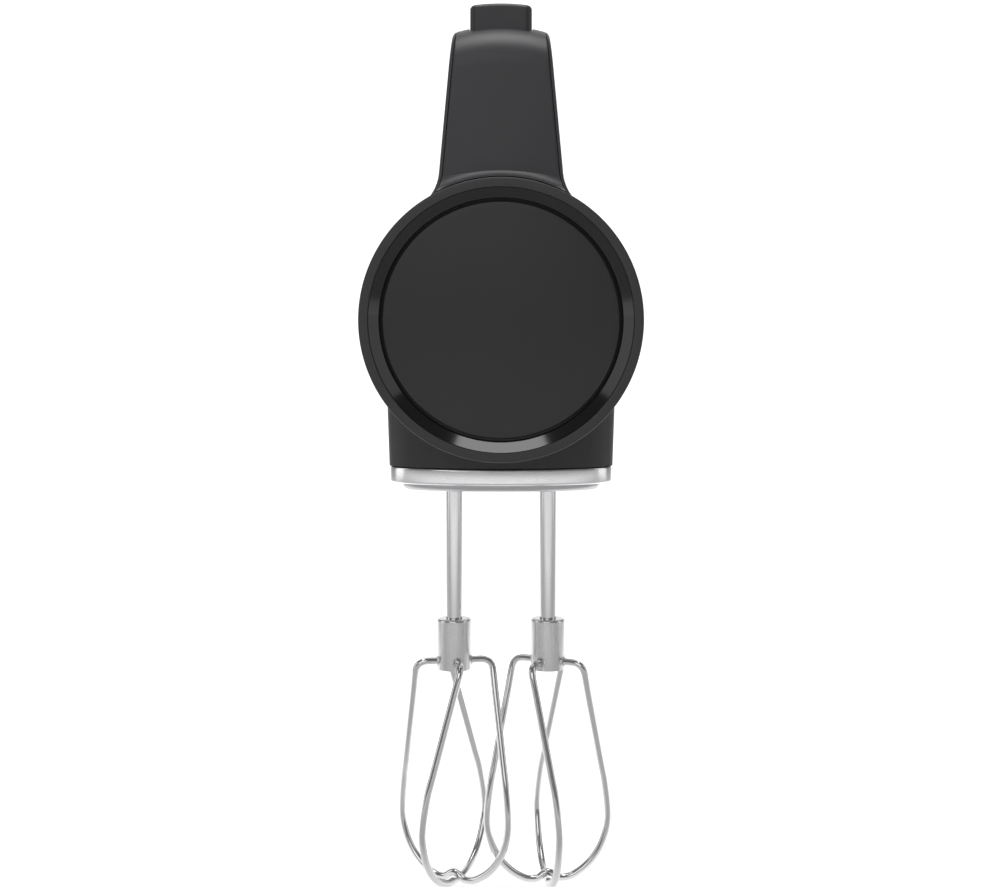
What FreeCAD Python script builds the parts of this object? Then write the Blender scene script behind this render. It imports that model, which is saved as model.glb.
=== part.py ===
"""A cordless hand mixer with two beaters, a round nose, a stem and a level grip.

Frame while building: x across, y from the beater axes to the rear (the nose is at -y), z up,
with zero on the axis of the round nose. Every part is moved at the end so that the
origin is at the middle of the grip.
"""
import FreeCAD, Part
import math
import os

V = FreeCAD.Vector

# the grip's middle, which becomes the origin
GRIP_Y = 55.0
GRIP_Z = 80.9

# the round nose and the drum behind it
RING_R = 45.2
RING_FACE_R = 42.0
BEVEL_IN_R = 38.6
DISC_R = 37.9
NOSE_Y = -45.0
DRUM_R = 45.0
DRUM_FRONT_Y = -40.0
DRUM_BACK_Y = 12.0
WALL = 2.6

# stem and handle
STEM_FRONT_Y = -40.0
HANDLE_TOP_Z = 95.8
BROW_R = 13.5
STEM_HALF_HIGH = 15.9
STEM_Z_HIGH = 90.4
STEM_HALF_LOW = 19.8
STEM_Z_LOW = 48.4
FLARE_R = 14.0
FOOT_R = 12.0
LEG_Z = 30.0
CROWN_R = 56.0
SEAM_IN = 1.3
SEAM = 0.25

# motor pod and skirt
POD_R = 37.0
POD_Z = -12.0
POD_END_Y = 158.4
HEEL_Y = 160.0
SKIRT_HALF_LOW = 37.8
SKIRT_HALF_HIGH = 39.6
SKIRT_Z = -49.1
SKIRT_NOSE = 15.4
SKIRT_TANGENT_Y = -5.0
SKIRT_SIDE_Y = 58.0
SKIRT_TAIL = 22.0
BAND_BOTTOM_Z = -54.8
PLATE_BOTTOM_Z = -57.2

# drive
BEATER_X = 16.0
MOTOR_Z = -20.0
WORM_PITCH_R = 4.0
WHEEL_PITCH_R = 12.0
WHEEL_TEETH = 24
WHEEL_FACE = 8.0
SPINDLE_R = 4.75
SPINDLE_BORE_R = 2.90
SPINDLE_TOP_Z = 0.5
SPINDLE_BOTTOM_Z = -57.2
BUSH_OUT_R = 6.8
BUSH_IN_R = 4.83
MOTOR_R = 18.5

# beaters
SHAFT_R = 2.82
SHAFT_TOP_Z = -12.2
SLEEVE_R = 5.85
SLEEVE_TOP_Z = -101.7
SLEEVE_BOTTOM_Z = -119.0
WIRE_R = 1.25
WIRE_HOLE_Z = -116.2
WIRE_SHOULDER_R = 13.0
WIRE_BELLY_R = 21.1
WIRE_BELLY_Z = -168.0
WIRE_LOW_Z = -191.5
WIRE_HUMP = 3.0

# eject button
BUTTON_HALF = 10.0
BUTTON_FRONT_Y = -33.0
BUTTON_BACK_Y = -12.0
BUTTON_TOP_Z = 102.4
ROD_Y = -24.0

# battery
CASE_R = 33.8
CASE_FRONT_Y = 84.0
CAP_Y = 152.8
CASE_BACK_Y = 158.8


# ---------------------------------------------------------------- helpers

def box(x0, x1, y0, y1, z0, z1):
    return Part.makeBox(x1 - x0, y1 - y0, z1 - z0, V(x0, y0, z0))


def cyl_x(r, x0, x1, y=0.0, z=0.0):
    return Part.makeCylinder(r, x1 - x0, V(x0, y, z), V(1, 0, 0))


def cyl_y(r, y0, y1, x=0.0, z=0.0):
    return Part.makeCylinder(r, y1 - y0, V(x, y0, z), V(0, 1, 0))


def cyl_z(r, z0, z1, x=0.0, y=0.0):
    return Part.makeCylinder(r, z1 - z0, V(x, y, z0), V(0, 0, 1))


def tube_y(r_out, r_in, y0, y1, x=0.0, z=0.0):
    return cyl_y(r_out, y0, y1, x, z).cut(cyl_y(r_in, y0 - 1, y1 + 1, x, z))


def tube_z(r_out, r_in, z0, z1, x=0.0, y=0.0):
    return cyl_z(r_out, z0, z1, x, y).cut(cyl_z(r_in, z0 - 1, z1 + 1, x, y))


def fuse(shapes):
    whole = shapes[0]
    if len(shapes) > 1:
        whole = shapes[0].multiFuse(shapes[1:])
    return whole.removeSplitter()


def group(shapes):
    solids = []
    for shape in shapes:
        solids += shape.Solids
    return Part.makeCompound(solids)


def on_yz(x):
    return lambda a, b: V(x, a, b)


def on_xz(y):
    return lambda a, b: V(a, y, b)


def mirrored_on_xz(side, y):
    return lambda a, b: V(side * a, y, b)


def unit(a, b):
    size = math.hypot(b[0] - a[0], b[1] - a[1])
    return ((b[0] - a[0]) / size, (b[1] - a[1]) / size)


def outline(corners, place):
    """A closed wire through corners given as (a, b, rounding)."""
    starts = []
    middles = []
    ends = []
    count = len(corners)
    for i in range(count):
        here = corners[i]
        back = unit(here, corners[i - 1])
        on = unit(here, corners[(i + 1) % count])
        if here[2] <= 0:
            starts.append(here[:2])
            middles.append(None)
            ends.append(here[:2])
            continue
        half = math.acos(back[0] * on[0] + back[1] * on[1]) / 2
        run = here[2] / math.tan(half)
        reach = here[2] / math.sin(half) - here[2]
        way = unit((0, 0), (back[0] + on[0], back[1] + on[1]))
        starts.append((here[0] + back[0] * run, here[1] + back[1] * run))
        middles.append((here[0] + way[0] * reach, here[1] + way[1] * reach))
        ends.append((here[0] + on[0] * run, here[1] + on[1] * run))
    edges = []
    for i in range(count):
        if middles[i] is not None:
            arc = Part.Arc(place(*starts[i]), place(*middles[i]), place(*ends[i]))
            edges.append(arc.toShape())
        edges.append(Part.makeLine(place(*ends[i]), place(*starts[(i + 1) % count])))
    return Part.Wire(edges)


def offset_corners(corners, d):
    """The same outline with every side moved inwards by d."""
    count = len(corners)
    area = 0.0
    for i in range(count):
        area += corners[i - 1][0] * corners[i][1] - corners[i][0] * corners[i - 1][1]
    turn = 1 if area > 0 else -1
    moved = []
    for i in range(count):
        here = corners[i]
        u = unit(corners[i - 1], here)
        w = unit(here, corners[(i + 1) % count])
        n1 = (-u[1] * turn, u[0] * turn)
        n2 = (-w[1] * turn, w[0] * turn)
        det = n1[0] * n2[1] - n1[1] * n2[0]
        step = ((n2[1] - n1[1]) * d / det, (n1[0] - n2[0]) * d / det)
        bulge = (u[0] * w[1] - u[1] * w[0]) * turn
        radius = here[2]
        if radius > 0:
            radius = radius - d if bulge > 0 else radius + d
        moved.append((here[0] + step[0], here[1] + step[1], max(radius, 0.0)))
    return moved


def prism(wire, way):
    return Part.Face(wire).extrude(way)


def turned_y(profile):
    """A solid turned about the nose axis from (radius, y) points."""
    wire = Part.makePolygon([V(r, y, 0) for r, y in profile + profile[:1]])
    return Part.Face(wire).revolve(V(0, 0, 0), V(0, 1, 0), 360)


def turned_z(profile, x=0.0, y=0.0):
    """A solid turned about an upright axis from (radius, z) points."""
    wire = Part.makePolygon([V(x + r, y, z) for r, z in profile + profile[:1]])
    return Part.Face(wire).revolve(V(x, y, 0), V(0, 0, 1), 360)


def round_edges(shape, radius, wanted):
    """Rounds the edges whose middle point passes the test."""
    edges = []
    for edge in shape.Edges:
        middle = edge.valueAt((edge.FirstParameter + edge.LastParameter) / 2)
        if wanted(middle, edge):
            edges.append(edge)
    return shape.makeFillet(radius, edges)


def along(points, step):
    """Points and directions at even steps on a smooth curve through the points."""
    curve = Part.BSplineCurve()
    curve.interpolate(points)
    count = max(int(curve.length() / step), 8)
    spots = curve.discretize(Number=count + 1)
    ways = [curve.tangent(curve.parameter(spot))[0] for spot in spots]
    return spots, ways


def sweep(points, radius, step=3.0):
    """A round wire along a smooth curve through the points."""
    spots, ways = along(points, step)
    side = V(0, 0, 1).cross(ways[0])
    if side.Length < 0.1:
        side = V(1, 0, 0)
    rings = []
    for spot, way in zip(spots, ways):
        side = (side - way * side.dot(way)).normalize()
        up = way.cross(side)
        frame = FreeCAD.Matrix(side.x, up.x, way.x, spot.x, side.y, up.y, way.y, spot.y,
                               side.z, up.z, way.z, spot.z, 0, 0, 0, 1)
        ring = Part.makeCircle(radius)
        ring.Placement = FreeCAD.Placement(frame)
        rings.append(Part.Wire([ring]))
    return Part.makeLoft(rings, True, True)


# ---------------------------------------------------------------- housing forms

SIDE = [(STEM_FRONT_Y, 5.0, 0.0), (STEM_FRONT_Y, HANDLE_TOP_Z, BROW_R),
        (156.0, HANDLE_TOP_Z, 26.0), (158.2, 5.0, 0.0)]
HAND_OPENING = [(-8.0, 8.0, 0.0), (-8.0, 66.0, 12.0), (120.0, 65.0, 18.0), (129.0, 8.0, 0.0)]


def side_wire(x, inset):
    """The side outline at a distance x from the middle plane, lower towards the flanks."""
    drop = CROWN_R - math.sqrt(CROWN_R ** 2 - x * x)
    front = x * x / 420.0
    corners = [(SIDE[0][0] + front, SIDE[0][1], 0.0),
               (SIDE[1][0] + front, SIDE[1][1] - drop, SIDE[1][2]),
               (SIDE[2][0] - front, SIDE[2][1] - drop, SIDE[2][2]),
               (SIDE[3][0] - front, SIDE[3][1], 0.0)]
    return outline(offset_corners(corners, inset), on_yz(x))


def flare():
    """The middle of the flare arc where the stem meets the drum, and the side's slope."""
    slope = (STEM_HALF_LOW - STEM_HALF_HIGH) / (STEM_Z_HIGH - STEM_Z_LOW)
    lean = math.hypot(1, slope)
    whole = DRUM_R + FLARE_R
    reach = FLARE_R * lean + STEM_HALF_HIGH + STEM_Z_HIGH * slope
    angle = math.asin(reach / (whole * lean)) - math.atan(slope)
    return (whole * math.sin(angle), whole * math.cos(angle)), slope, lean


def arc_between(centre, radius, first, last, place):
    """A short arc round a centre from one point to another, in the outline's plane."""
    way = unit(centre, ((first[0] + last[0]) / 2, (first[1] + last[1]) / 2))
    middle = (centre[0] + way[0] * radius, centre[1] + way[1] * radius)
    return Part.Arc(place(*first), place(*middle), place(*last)).toShape()


def front_wire(y, inset):
    """The width of stem and grip as seen from the front."""
    centre, slope, lean = flare()
    radius = FLARE_R + inset
    high = (centre[0] - radius / lean, centre[1] - radius * slope / lean)
    share = 1 / (DRUM_R + FLARE_R)
    way = (centre[0] * share, centre[1] * share)
    low = (way[0] * (DRUM_R - inset), way[1] * (DRUM_R - inset))
    hub = (way[0] * (DRUM_R - FOOT_R), way[1] * (DRUM_R - FOOT_R))
    foot = (hub[0] + FOOT_R - inset, hub[1])
    top = STEM_HALF_HIGH - (112.0 - STEM_Z_HIGH) * slope - inset * lean
    edges = []
    for s in (1, -1):
        place = mirrored_on_xz(s, y)
        side = [Part.makeLine(place(foot[0], 8), place(*foot)),
                arc_between(hub, FOOT_R - inset, foot, low, place),
                arc_between(centre, radius, low, high, place),
                Part.makeLine(place(*high), place(top, 112))]
        edges += side
    edges.append(Part.makeLine(V(-foot[0], y, 8), V(foot[0], y, 8)))
    edges.append(Part.makeLine(V(-top, y, 112), V(top, y, 112)))
    return Part.Wire(Part.__sortEdges__(edges))


def width_prism(inset):
    """Flared sides for the stem, plain ones for the grip and the rear post."""
    centre, slope, lean = flare()
    low = STEM_HALF_HIGH + (STEM_Z_HIGH - 8) * slope - inset * lean
    high = STEM_HALF_HIGH - (112.0 - STEM_Z_HIGH) * slope - inset * lean
    corners = [(-low, 8, 0), (low, 8, 0), (high, 112, 0), (-high, 112, 0)]
    rear = prism(outline(corners, on_xz(60)), V(0, 140, 0))
    return prism(front_wire(-60, inset), V(0, 120, 0)).fuse(rear).removeSplitter()


def side_loft(inset):
    wires = [side_wire(x, inset) for x in (-34.0, -17.0, 0.0, 17.0, 34.0)]
    return Part.makeLoft(wires, True, False)


def opening_prism(inset):
    corners = offset_corners(HAND_OPENING, -inset)
    return prism(outline(corners, on_yz(-40)), V(80, 0, 0))


def slab(inset):
    """Stem, grip and rear post as one loop."""
    return side_loft(inset).common(width_prism(inset)).cut(opening_prism(inset))


def rounded_slab(inset):
    """The loop with soft edges round the hand opening and small ones outside."""
    whole = slab(inset)
    loop = whole.common(box(-60, 60, -80, 200, LEG_Z, 140))
    legs = whole.common(box(-60, 60, -80, 200, 0, LEG_Z))
    ring = outline(offset_corners(HAND_OPENING, -inset), on_yz(0))

    def gap(p):
        return ring.distToShape(Part.Vertex(0, p.y, p.z))[0]

    def inner(p, edge):
        return gap(p) < 0.05 and abs(p.x) > 12 and p.z > LEG_Z + 0.1

    def outer(p, edge):
        along_y = edge.BoundBox.YLength > 10 and edge.BoundBox.ZLength < 1 and p.z < 60
        return abs(p.x) > 13 and p.z > LEG_Z + 0.1 and gap(p) > 6.5 and not along_y
    loop = round_edges(loop, 5.5 - inset, inner)
    if inset == 0:
        loop = round_edges(loop, 2.2, outer)
    front = legs.common(box(-60, 60, -80, 60, 0, LEG_Z))
    feet = [face for face in loop.Faces if abs(face.BoundBox.ZMax - LEG_Z) < 0.01
            and face.CenterOfMass.y > 100]
    rear = [foot.extrude(V(0, 0, -22)) for foot in feet]
    return fuse([loop, front] + rear)


def drum(inset, front):
    body = cyl_y(DRUM_R - inset, front, DRUM_BACK_Y - inset)
    return round_edges(body, 14.0 - inset, lambda p, e: p.y > DRUM_BACK_Y - inset - 0.1
                       and e.Closed)


def pod(inset, back):
    return cyl_y(POD_R - inset, -6, back, 0, POD_Z)


def plan_wire(half, nose, tail, z, inset=0.0):
    """The skirt's plan: a blunt elliptical front, straight flanks and a rounded tail."""
    a = half - inset
    front = Part.Ellipse(V(0, SKIRT_TANGENT_Y, z), a, nose - inset)
    back = Part.Ellipse(V(0, SKIRT_SIDE_Y, z), a, tail - inset)
    edges = [Part.ArcOfEllipse(front, math.pi, 2 * math.pi).toShape(),
             Part.makeLine(V(a, SKIRT_TANGENT_Y, z), V(a, SKIRT_SIDE_Y, z)),
             Part.ArcOfEllipse(back, 0, math.pi).toShape(),
             Part.makeLine(V(-a, SKIRT_SIDE_Y, z), V(-a, SKIRT_TANGENT_Y, z))]
    return Part.Wire(edges)


def skirt(inset, bottom):
    high = plan_wire(SKIRT_HALF_HIGH, SKIRT_NOSE, SKIRT_TAIL, 2.0, inset)
    low = plan_wire(SKIRT_HALF_LOW, SKIRT_NOSE, SKIRT_TAIL, SKIRT_Z, inset)
    body = Part.makeLoft([low, high], True, True)
    if bottom < SKIRT_Z:
        body = body.fuse(prism(low, V(0, 0, bottom - SKIRT_Z)))
    shoulder = cyl_y(40.4 - inset, -40, 120, 0, -26.0)
    return body.common(shoulder.fuse(box(-60, 60, -60, 120, -90, -26)))


def interior(inset):
    """The hollow inside the housing, open at nose, base and rear."""
    return fuse([slab(inset), drum(inset, -60), pod(inset, 170), skirt(inset, -51)])


def ribs(inner):
    """Walls inside the halves that hold the motor and the battery contacts."""
    made = []
    for y0 in (26.0, 58.0):
        wall = box(-40, 40, y0, y0 + 3, -49.1, -1).common(inner)
        made.append(wall.cut(cyl_y(21.9, y0 - 1, y0 + 4, 0, MOTOR_Z)))
    bulkhead = box(-40, 40, 77, 79.5, -49.1, 30).common(inner)
    bulkhead = bulkhead.cut(box(-14.05, 14.05, 70, 90, -14.05, 2.05))
    bulkhead = bulkhead.cut(box(-9, 9, 70, 90, 9, 19))
    made.append(bulkhead)
    return made


SCREWS = [(-13.0, 58.0), (62.0, 79.0), (104.0, 79.0), (143.0, 62.0), (143.0, 34.0),
          (69.5, 10.0), (22.0, 10.0)]


def half_width_at(y, z):
    """Distance of the inner wall from the middle plane where a screw sits."""
    if z > 30:
        slope = (STEM_HALF_LOW - STEM_HALF_HIGH) / (STEM_Z_HIGH - STEM_Z_LOW)
        return STEM_HALF_HIGH + (STEM_Z_HIGH - z) * slope
    return math.sqrt(POD_R ** 2 - (z - POD_Z) ** 2)


def screw_bosses():
    """Posts between the two halves, with the bores and head seats cut later."""
    posts = []
    for y, z in SCREWS:
        reach = half_width_at(y, z) - 1.0
        posts.append(cyl_x(3.8, -reach, reach, y, z))
    return posts


def screw_cuts():
    cuts = []
    for y, z in SCREWS:
        reach = half_width_at(y, z)
        cuts.append(cyl_x(1.55, -9, reach + 4, y, z))
        cuts.append(cyl_x(3.2, reach - 3.4, reach + 6, y, z))
    return cuts


def housing_screws():
    made = []
    for y, z in SCREWS:
        seat = half_width_at(y, z) - 3.4
        shank = cyl_x(1.5, -7, seat, y, z)
        head = cyl_x(2.9, seat, seat + 2.1, y, z)
        head = round_edges(head, 0.8, lambda p, e: p.x > seat + 2.0 and e.Closed)
        slot = fuse([box(seat + 1.1, seat + 3, y - 1.9, y + 1.9, z - 0.35, z + 0.35),
                     box(seat + 1.1, seat + 3, y - 0.35, y + 0.35, z - 1.9, z + 1.9)])
        made.append(fuse([shank, head.cut(slot)]))
    return group(made)


def vents():
    cuts = []
    for y in range(26, 67, 8):
        slot = fuse([box(-60, 60, y - 1.3, y + 1.3, -20, -4), cyl_x(1.3, -60, 60, y, -20),
                     cyl_x(1.3, -60, 60, y, -4)])
        cuts.append(slot.cut(box(-31, 31, y - 3, y + 3, -30, 10)))
    return cuts


def cover_zone(inset, grow):
    """Where the long trim strip over stem and grip lies."""
    front = box(-40, 40, -60, -31, 20, 120)
    top = box(-40, 40, -60, 132 + grow, 84, 120)
    zone = front.fuse(top).common(width_prism(inset))
    return zone.cut(cyl_y(RING_R + 0.4 - grow, -60, -20))


def cove():
    """The small hollow sweep between the strip and the nose ring."""
    start = V(45.6, -43.4, 0)
    bend = V(46.55, -41.05, 0)
    end = V(49.4, -39.2, 0)
    wire = Part.Wire([Part.Arc(start, bend, end).toShape(),
                      Part.makeLine(end, V(49.4, -38.4, 0)),
                      Part.makeLine(V(49.4, -38.4, 0), V(45.6, -38.4, 0)),
                      Part.makeLine(V(45.6, -38.4, 0), start)])
    ring = Part.Face(wire).revolve(V(0, 0, 0), V(0, 1, 0), 360)
    return ring.common(width_prism(SEAM_IN)).common(box(-40, 40, -60, 0, 30, 60))


def button_hole(gap):
    hole = box(-BUTTON_HALF - gap, BUTTON_HALF + gap, BUTTON_FRONT_Y - gap,
               BUTTON_BACK_Y + gap, 80, 120)
    return round_edges(hole, 2.2 + gap, lambda p, e: e.BoundBox.ZLength > 30)


def housing_parts():
    """Left and right halves, the trim strip, and the soft pad under the grip."""
    outer_slab = rounded_slab(0)
    inner_slab = slab(WALL)
    outer = fuse([outer_slab, drum(0, DRUM_FRONT_Y), pod(0, POD_END_Y), skirt(0, SKIRT_Z)])
    inner = fuse([inner_slab, drum(WALL, -60), pod(WALL, 170), skirt(WALL, -51)])
    posts = [post.common(inner) for post in screw_bosses()]
    shell = outer.cut(inner)
    trim = outer_slab.cut(side_loft(WALL)).common(cover_zone(SEAM_IN, 0))
    trim = fuse([trim, cove()])
    trim = trim.cut(cyl_y(DRUM_R - WALL, -60, 0))
    trim = trim.cut(button_hole(0.3)).cut(cyl_z(2.3, 80, 120, 0, 62))
    trim = trim.cut(box(-2.5, 2.5, 9.3, 36.7, 80, 120))
    shell = shell.cut(cover_zone(SEAM_IN - SEAM, SEAM))
    pad_zone = box(-40, 40, 6, 108, 60, 77)
    pad = outer_slab.common(pad_zone).cut(rounded_slab(1.2))
    shell = shell.cut(pad)
    body = fuse([shell] + ribs(inner) + posts)
    body = body.cut(fuse(screw_cuts())).cut(fuse(vents()))
    body = body.cut(box(-9.2, 9.2, 150, 157, 20, 23.6))
    left = body.common(box(-80, -0.02, -80, 200, -80, 140))
    right = body.common(box(0.02, 80, -80, 200, -80, 140))
    return left, right, trim, pad


# ---------------------------------------------------------------- nose

def nose_ring():
    return turned_y([(42.0, NOSE_Y), (44.7, NOSE_Y), (45.05, -44.85), (RING_R, -44.5),
                     (RING_R, -40.2), (42.3, -40.2), (42.3, -36.0), (40.0, -36.0),
                     (40.0, -41.2), (42.0, -41.2)])


def nose_bevel():
    return turned_y([(41.95, NOSE_Y), (41.95, -41.3), (39.9, -41.3), (39.9, -38.5),
                     (35.0, -38.5), (35.0, -39.9), (BEVEL_IN_R, -39.9), (BEVEL_IN_R, -42.0)])


def nose_disc():
    """A very slightly domed plate with a rounded rim."""
    rim = 0.6
    sag = 1.1
    face = NOSE_Y + 1.5
    big = (DISC_R ** 2 + sag ** 2) / (2 * sag)
    ball = Part.makeSphere(big, V(0, face + big, 0))
    plate = cyl_y(DISC_R, face - 1, -40.2).common(ball)
    plate = round_edges(plate, rim, lambda p, e: e.Closed and p.y < -41)
    feet = [cyl_y(2.4, -40.3, -35.2, 24 * math.cos(a), 24 * math.sin(a))
            for a in (math.pi / 2, math.pi * 7 / 6, math.pi * 11 / 6)]
    return fuse([plate] + feet)


def control_board():
    board = cyl_y(30, -35.1, -33.5)
    for a in (30, 150, 270):
        at = math.radians(a)
        board = board.cut(cyl_y(1.5, -37, -30, 18 * math.cos(at), 18 * math.sin(at)))
    return board


def board_parts():
    y0 = -33.4
    return group([box(-20, -10, y0, y0 + 4, -4, 8), box(11, 22, y0, y0 + 5, -14, -2),
                  cyl_y(4, y0, y0 + 9, 16, 8), cyl_y(4, y0, y0 + 9, -14, -14),
                  box(-24, -12, y0, y0 + 6, 12, 18), box(12, 22, y0, y0 + 3, 14, 20),
                  box(-4, 4, y0, y0 + 2, -24, -18)])


# ---------------------------------------------------------------- base

def base_band():
    outer = prism(plan_wire(37.6, 15.2, 21.8, BAND_BOTTOM_Z), V(0, 0, -49.25 - BAND_BOTTOM_Z))
    outer = round_edges(outer, 0.9, lambda p, e: True)
    return outer.cut(prism(plan_wire(37.6, 15.2, 21.8, -60, 2.6), V(0, 0, 20)))


def spindle_holes(radius, z0, z1):
    return [cyl_z(radius, z0, z1, s * BEATER_X) for s in (-1, 1)]


BASE_SCREWS = [(0.0, -11.0), (-20.0, 56.0), (20.0, 56.0), (0.0, 40.0)]


def base_plate():
    top = prism(plan_wire(37.6, 15.2, 21.8, -54.3, 2.8), V(0, 0, 2.8))
    pad = prism(plan_wire(33.2, 12.2, 18.4, PLATE_BOTTOM_Z), V(0, 0, 3.1))
    pad = round_edges(pad, 2.0, lambda p, e: p.z < PLATE_BOTTOM_Z + 0.1)
    rims = [cyl_z(8.2, -54, -49.4, s * BEATER_X) for s in (-1, 1)]
    plate = fuse([top, pad] + rims)
    for hole in spindle_holes(5.4, -60, -45):
        plate = plate.cut(hole)
    for x, y in BASE_SCREWS:
        plate = plate.cut(cyl_z(1.6, -60, -45, x, y)).cut(cyl_z(3.1, -60, -54.4, x, y))
    return plate


def base_screws():
    made = []
    for x, y in BASE_SCREWS:
        head = cyl_z(2.8, -56.2, -54.4, x, y)
        head = head.cut(box(x - 1.7, x + 1.7, y - 0.35, y + 0.35, -57, -55.3))
        head = head.cut(box(x - 0.35, x + 0.35, y - 1.7, y + 1.7, -57, -55.3))
        made.append(fuse([head, cyl_z(1.5, -54.5, -46.0, x, y)]))
    return group(made)


# ---------------------------------------------------------------- drive

def involute_half_angle(r):
    """Half of a tooth's angle at radius r."""
    base = WHEEL_PITCH_R * math.cos(math.radians(20))
    turn = math.acos(min(1.0, base / r))
    at_pitch = math.tan(math.radians(20)) - math.radians(20)
    thick = (math.pi / 2 - 0.12) / (2 * WHEEL_PITCH_R)
    return thick + at_pitch - (math.tan(turn) - turn)


def wheel_wire(z, turn):
    root = WHEEL_PITCH_R - 1.25
    tip = WHEEL_PITCH_R + 0.95
    points = []
    for k in range(WHEEL_TEETH):
        mid = (k + 0.5) * 2 * math.pi / WHEEL_TEETH + turn
        flank = [(root, involute_half_angle(11.3) + 0.012)]
        for r in (11.3, 11.9, 12.5, tip):
            flank.append((r, involute_half_angle(r)))
        for r, half in flank:
            points.append((r, mid - half))
        for r, half in reversed(flank):
            points.append((r, mid + half))
    spots = [V(r * math.cos(a), r * math.sin(a), z) for r, a in points]
    return Part.makePolygon(spots + spots[:1])


def worm_wheel(x):
    twist = 1.0 / (WORM_PITCH_R * WHEEL_PITCH_R)
    half = WHEEL_FACE / 2
    wires = [wheel_wire(MOTOR_Z + z, z * twist) for z in (-half, 0.0, half)]
    teeth = Part.makeLoft(wires, True, True)
    hub = cyl_z(7.4, -31.6, -10.4)
    wheel = fuse([teeth, hub]).cut(cyl_z(SPINDLE_R, -40, 0))
    wheel.translate(V(x, 0, 0))
    return wheel


def worm_section(z, turn):
    """The worm's section across its axis; two starts give it two lobes."""
    half_pitch = math.pi / 2
    thick = half_pitch - 0.34
    slope = math.tan(math.radians(20))
    points = []
    for k in range(32):
        a = 2 * math.pi * k / 32
        off = abs((a + half_pitch) % math.pi - half_pitch)
        r = WORM_PITCH_R + (thick / 2 - off) / slope
        r = min(max(r, WORM_PITCH_R - 1.25), WORM_PITCH_R + 0.9)
        points.append(V(r * math.cos(a + turn), r * math.sin(a + turn), z))
    return Part.makePolygon(points + points[:1])


def worm():
    """Two right-hand starts, lead 2 pi mm, on a core round the motor shaft."""
    wires = []
    for k in range(57):
        z = -11.2 + 0.4 * k
        wires.append(worm_section(z, z + math.pi / 2))
    body = Part.makeLoft(wires, True, True)
    body.rotate(V(0, 0, 0), V(1, 1, 1), -120)
    body.translate(V(0, 0, MOTOR_Z))
    return body.cut(cyl_y(1.6, -20, 20, 0, MOTOR_Z))


def spindle(x):
    tube = tube_z(SPINDLE_R, SPINDLE_BORE_R, SPINDLE_BOTTOM_Z, SPINDLE_TOP_Z, x)
    slots = fuse([box(x - 6, x + 6, -0.9, 0.9, -60, -46), box(x - 0.9, x + 0.9, -6, 6, -60, -46)])
    return tube.cut(slots)


def eject_pin(x):
    return fuse([cyl_z(2.5, -12.0, 8.8, x), cyl_z(3.9, 6.9, 8.8, x)])


FRAME_SCREWS = [(-25.0, -14.0), (25.0, -14.0), (-27.0, 12.5), (27.0, 12.5)]


def gear_frame():
    inner = interior(WALL + 0.4)
    floor = box(-31, 31, -18.5, 17, -36, -33).common(inner)
    posts = [cyl_z(3.2, -33, -9, x, y) for x, y in FRAME_SCREWS]
    front = box(-7, 7, -18.5, -13.5, -33, -9)
    rear = box(-24, 24, 14, 17, -33, -9)
    frame = fuse([floor, front, rear] + posts)
    frame = frame.cut(fuse(spindle_holes(BUSH_OUT_R, -40, -30)))
    frame = frame.cut(cyl_y(4.0, -20, -12, 0, MOTOR_Z)).cut(cyl_y(6.2, 13, 18, 0, MOTOR_Z))
    for x, y in FRAME_SCREWS:
        frame = frame.cut(cyl_z(1.25, -22, -8, x, y))
    return frame


def gear_cover():
    plate = box(-31, 31, -18.5, 17, -9, -6)
    plate = round_edges(plate, 4.0, lambda p, e: e.BoundBox.ZLength > 2.5)
    plate = plate.cut(fuse(spindle_holes(BUSH_OUT_R, -12, 0)))
    for x, y in FRAME_SCREWS:
        plate = plate.cut(cyl_z(1.6, -12, 0, x, y))
    return plate


def frame_screws():
    return group([fuse([cyl_z(1.2, -20, -6, x, y), cyl_z(2.7, -6, -4.2, x, y)])
                  for x, y in FRAME_SCREWS])


def bushes(z0, z1):
    return group([tube_z(BUSH_OUT_R, BUSH_IN_R, z0, z1, s * BEATER_X) for s in (-1, 1)])


def motor_can():
    can = tube_y(MOTOR_R, 17.1, 20, 70, 0, MOTOR_Z)
    back = tube_y(17.1, 1.75, 68.4, 70, 0, MOTOR_Z)
    boss = tube_y(5, 1.75, 69.9, 72, 0, MOTOR_Z)
    return fuse([can, back, boss])


def motor_end_cap():
    disc = tube_y(17.0, 1.75, 17.2, 20.4, 0, MOTOR_Z)
    rim = tube_y(MOTOR_R, 16.0, 17.2, 19.95, 0, MOTOR_Z)
    boss = tube_y(5.8, 1.75, 14.2, 17.3, 0, MOTOR_Z)
    cap = fuse([disc, rim, boss])
    for k in range(6):
        a = k * math.pi / 3
        cap = cap.cut(cyl_y(2.2, 16, 22, 11 * math.cos(a), MOTOR_Z + 11 * math.sin(a)))
    return cap


def motor_magnets():
    ring = tube_y(17.0, 12.3, 28, 58, 0, MOTOR_Z)
    gap = box(-6, 6, 20, 70, MOTOR_Z - 30, MOTOR_Z + 30)
    return ring.cut(gap)


def motor_brushes():
    made = []
    for s in (-1, 1):
        low, high = sorted((s * 5.15, s * 11.0))
        made.append(box(low, high, 61, 66, MOTOR_Z - 2.2, MOTOR_Z + 2.2))
    return group(made)


def motor_mounts():
    return group([tube_y(21.8, MOTOR_R, y, y + 6, 0, MOTOR_Z) for y in (24.5, 56.5)])


def armature_core():
    core = cyl_y(11.6, 31, 55, 0, MOTOR_Z)
    for k in range(5):
        a = math.radians(90 + 72 * k)
        x = 8.6 * math.cos(a)
        z = MOTOR_Z + 8.6 * math.sin(a)
        core = core.cut(cyl_y(2.2, 30, 56, x, z))
    return core.cut(cyl_y(1.6, 20, 60, 0, MOTOR_Z))


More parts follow.
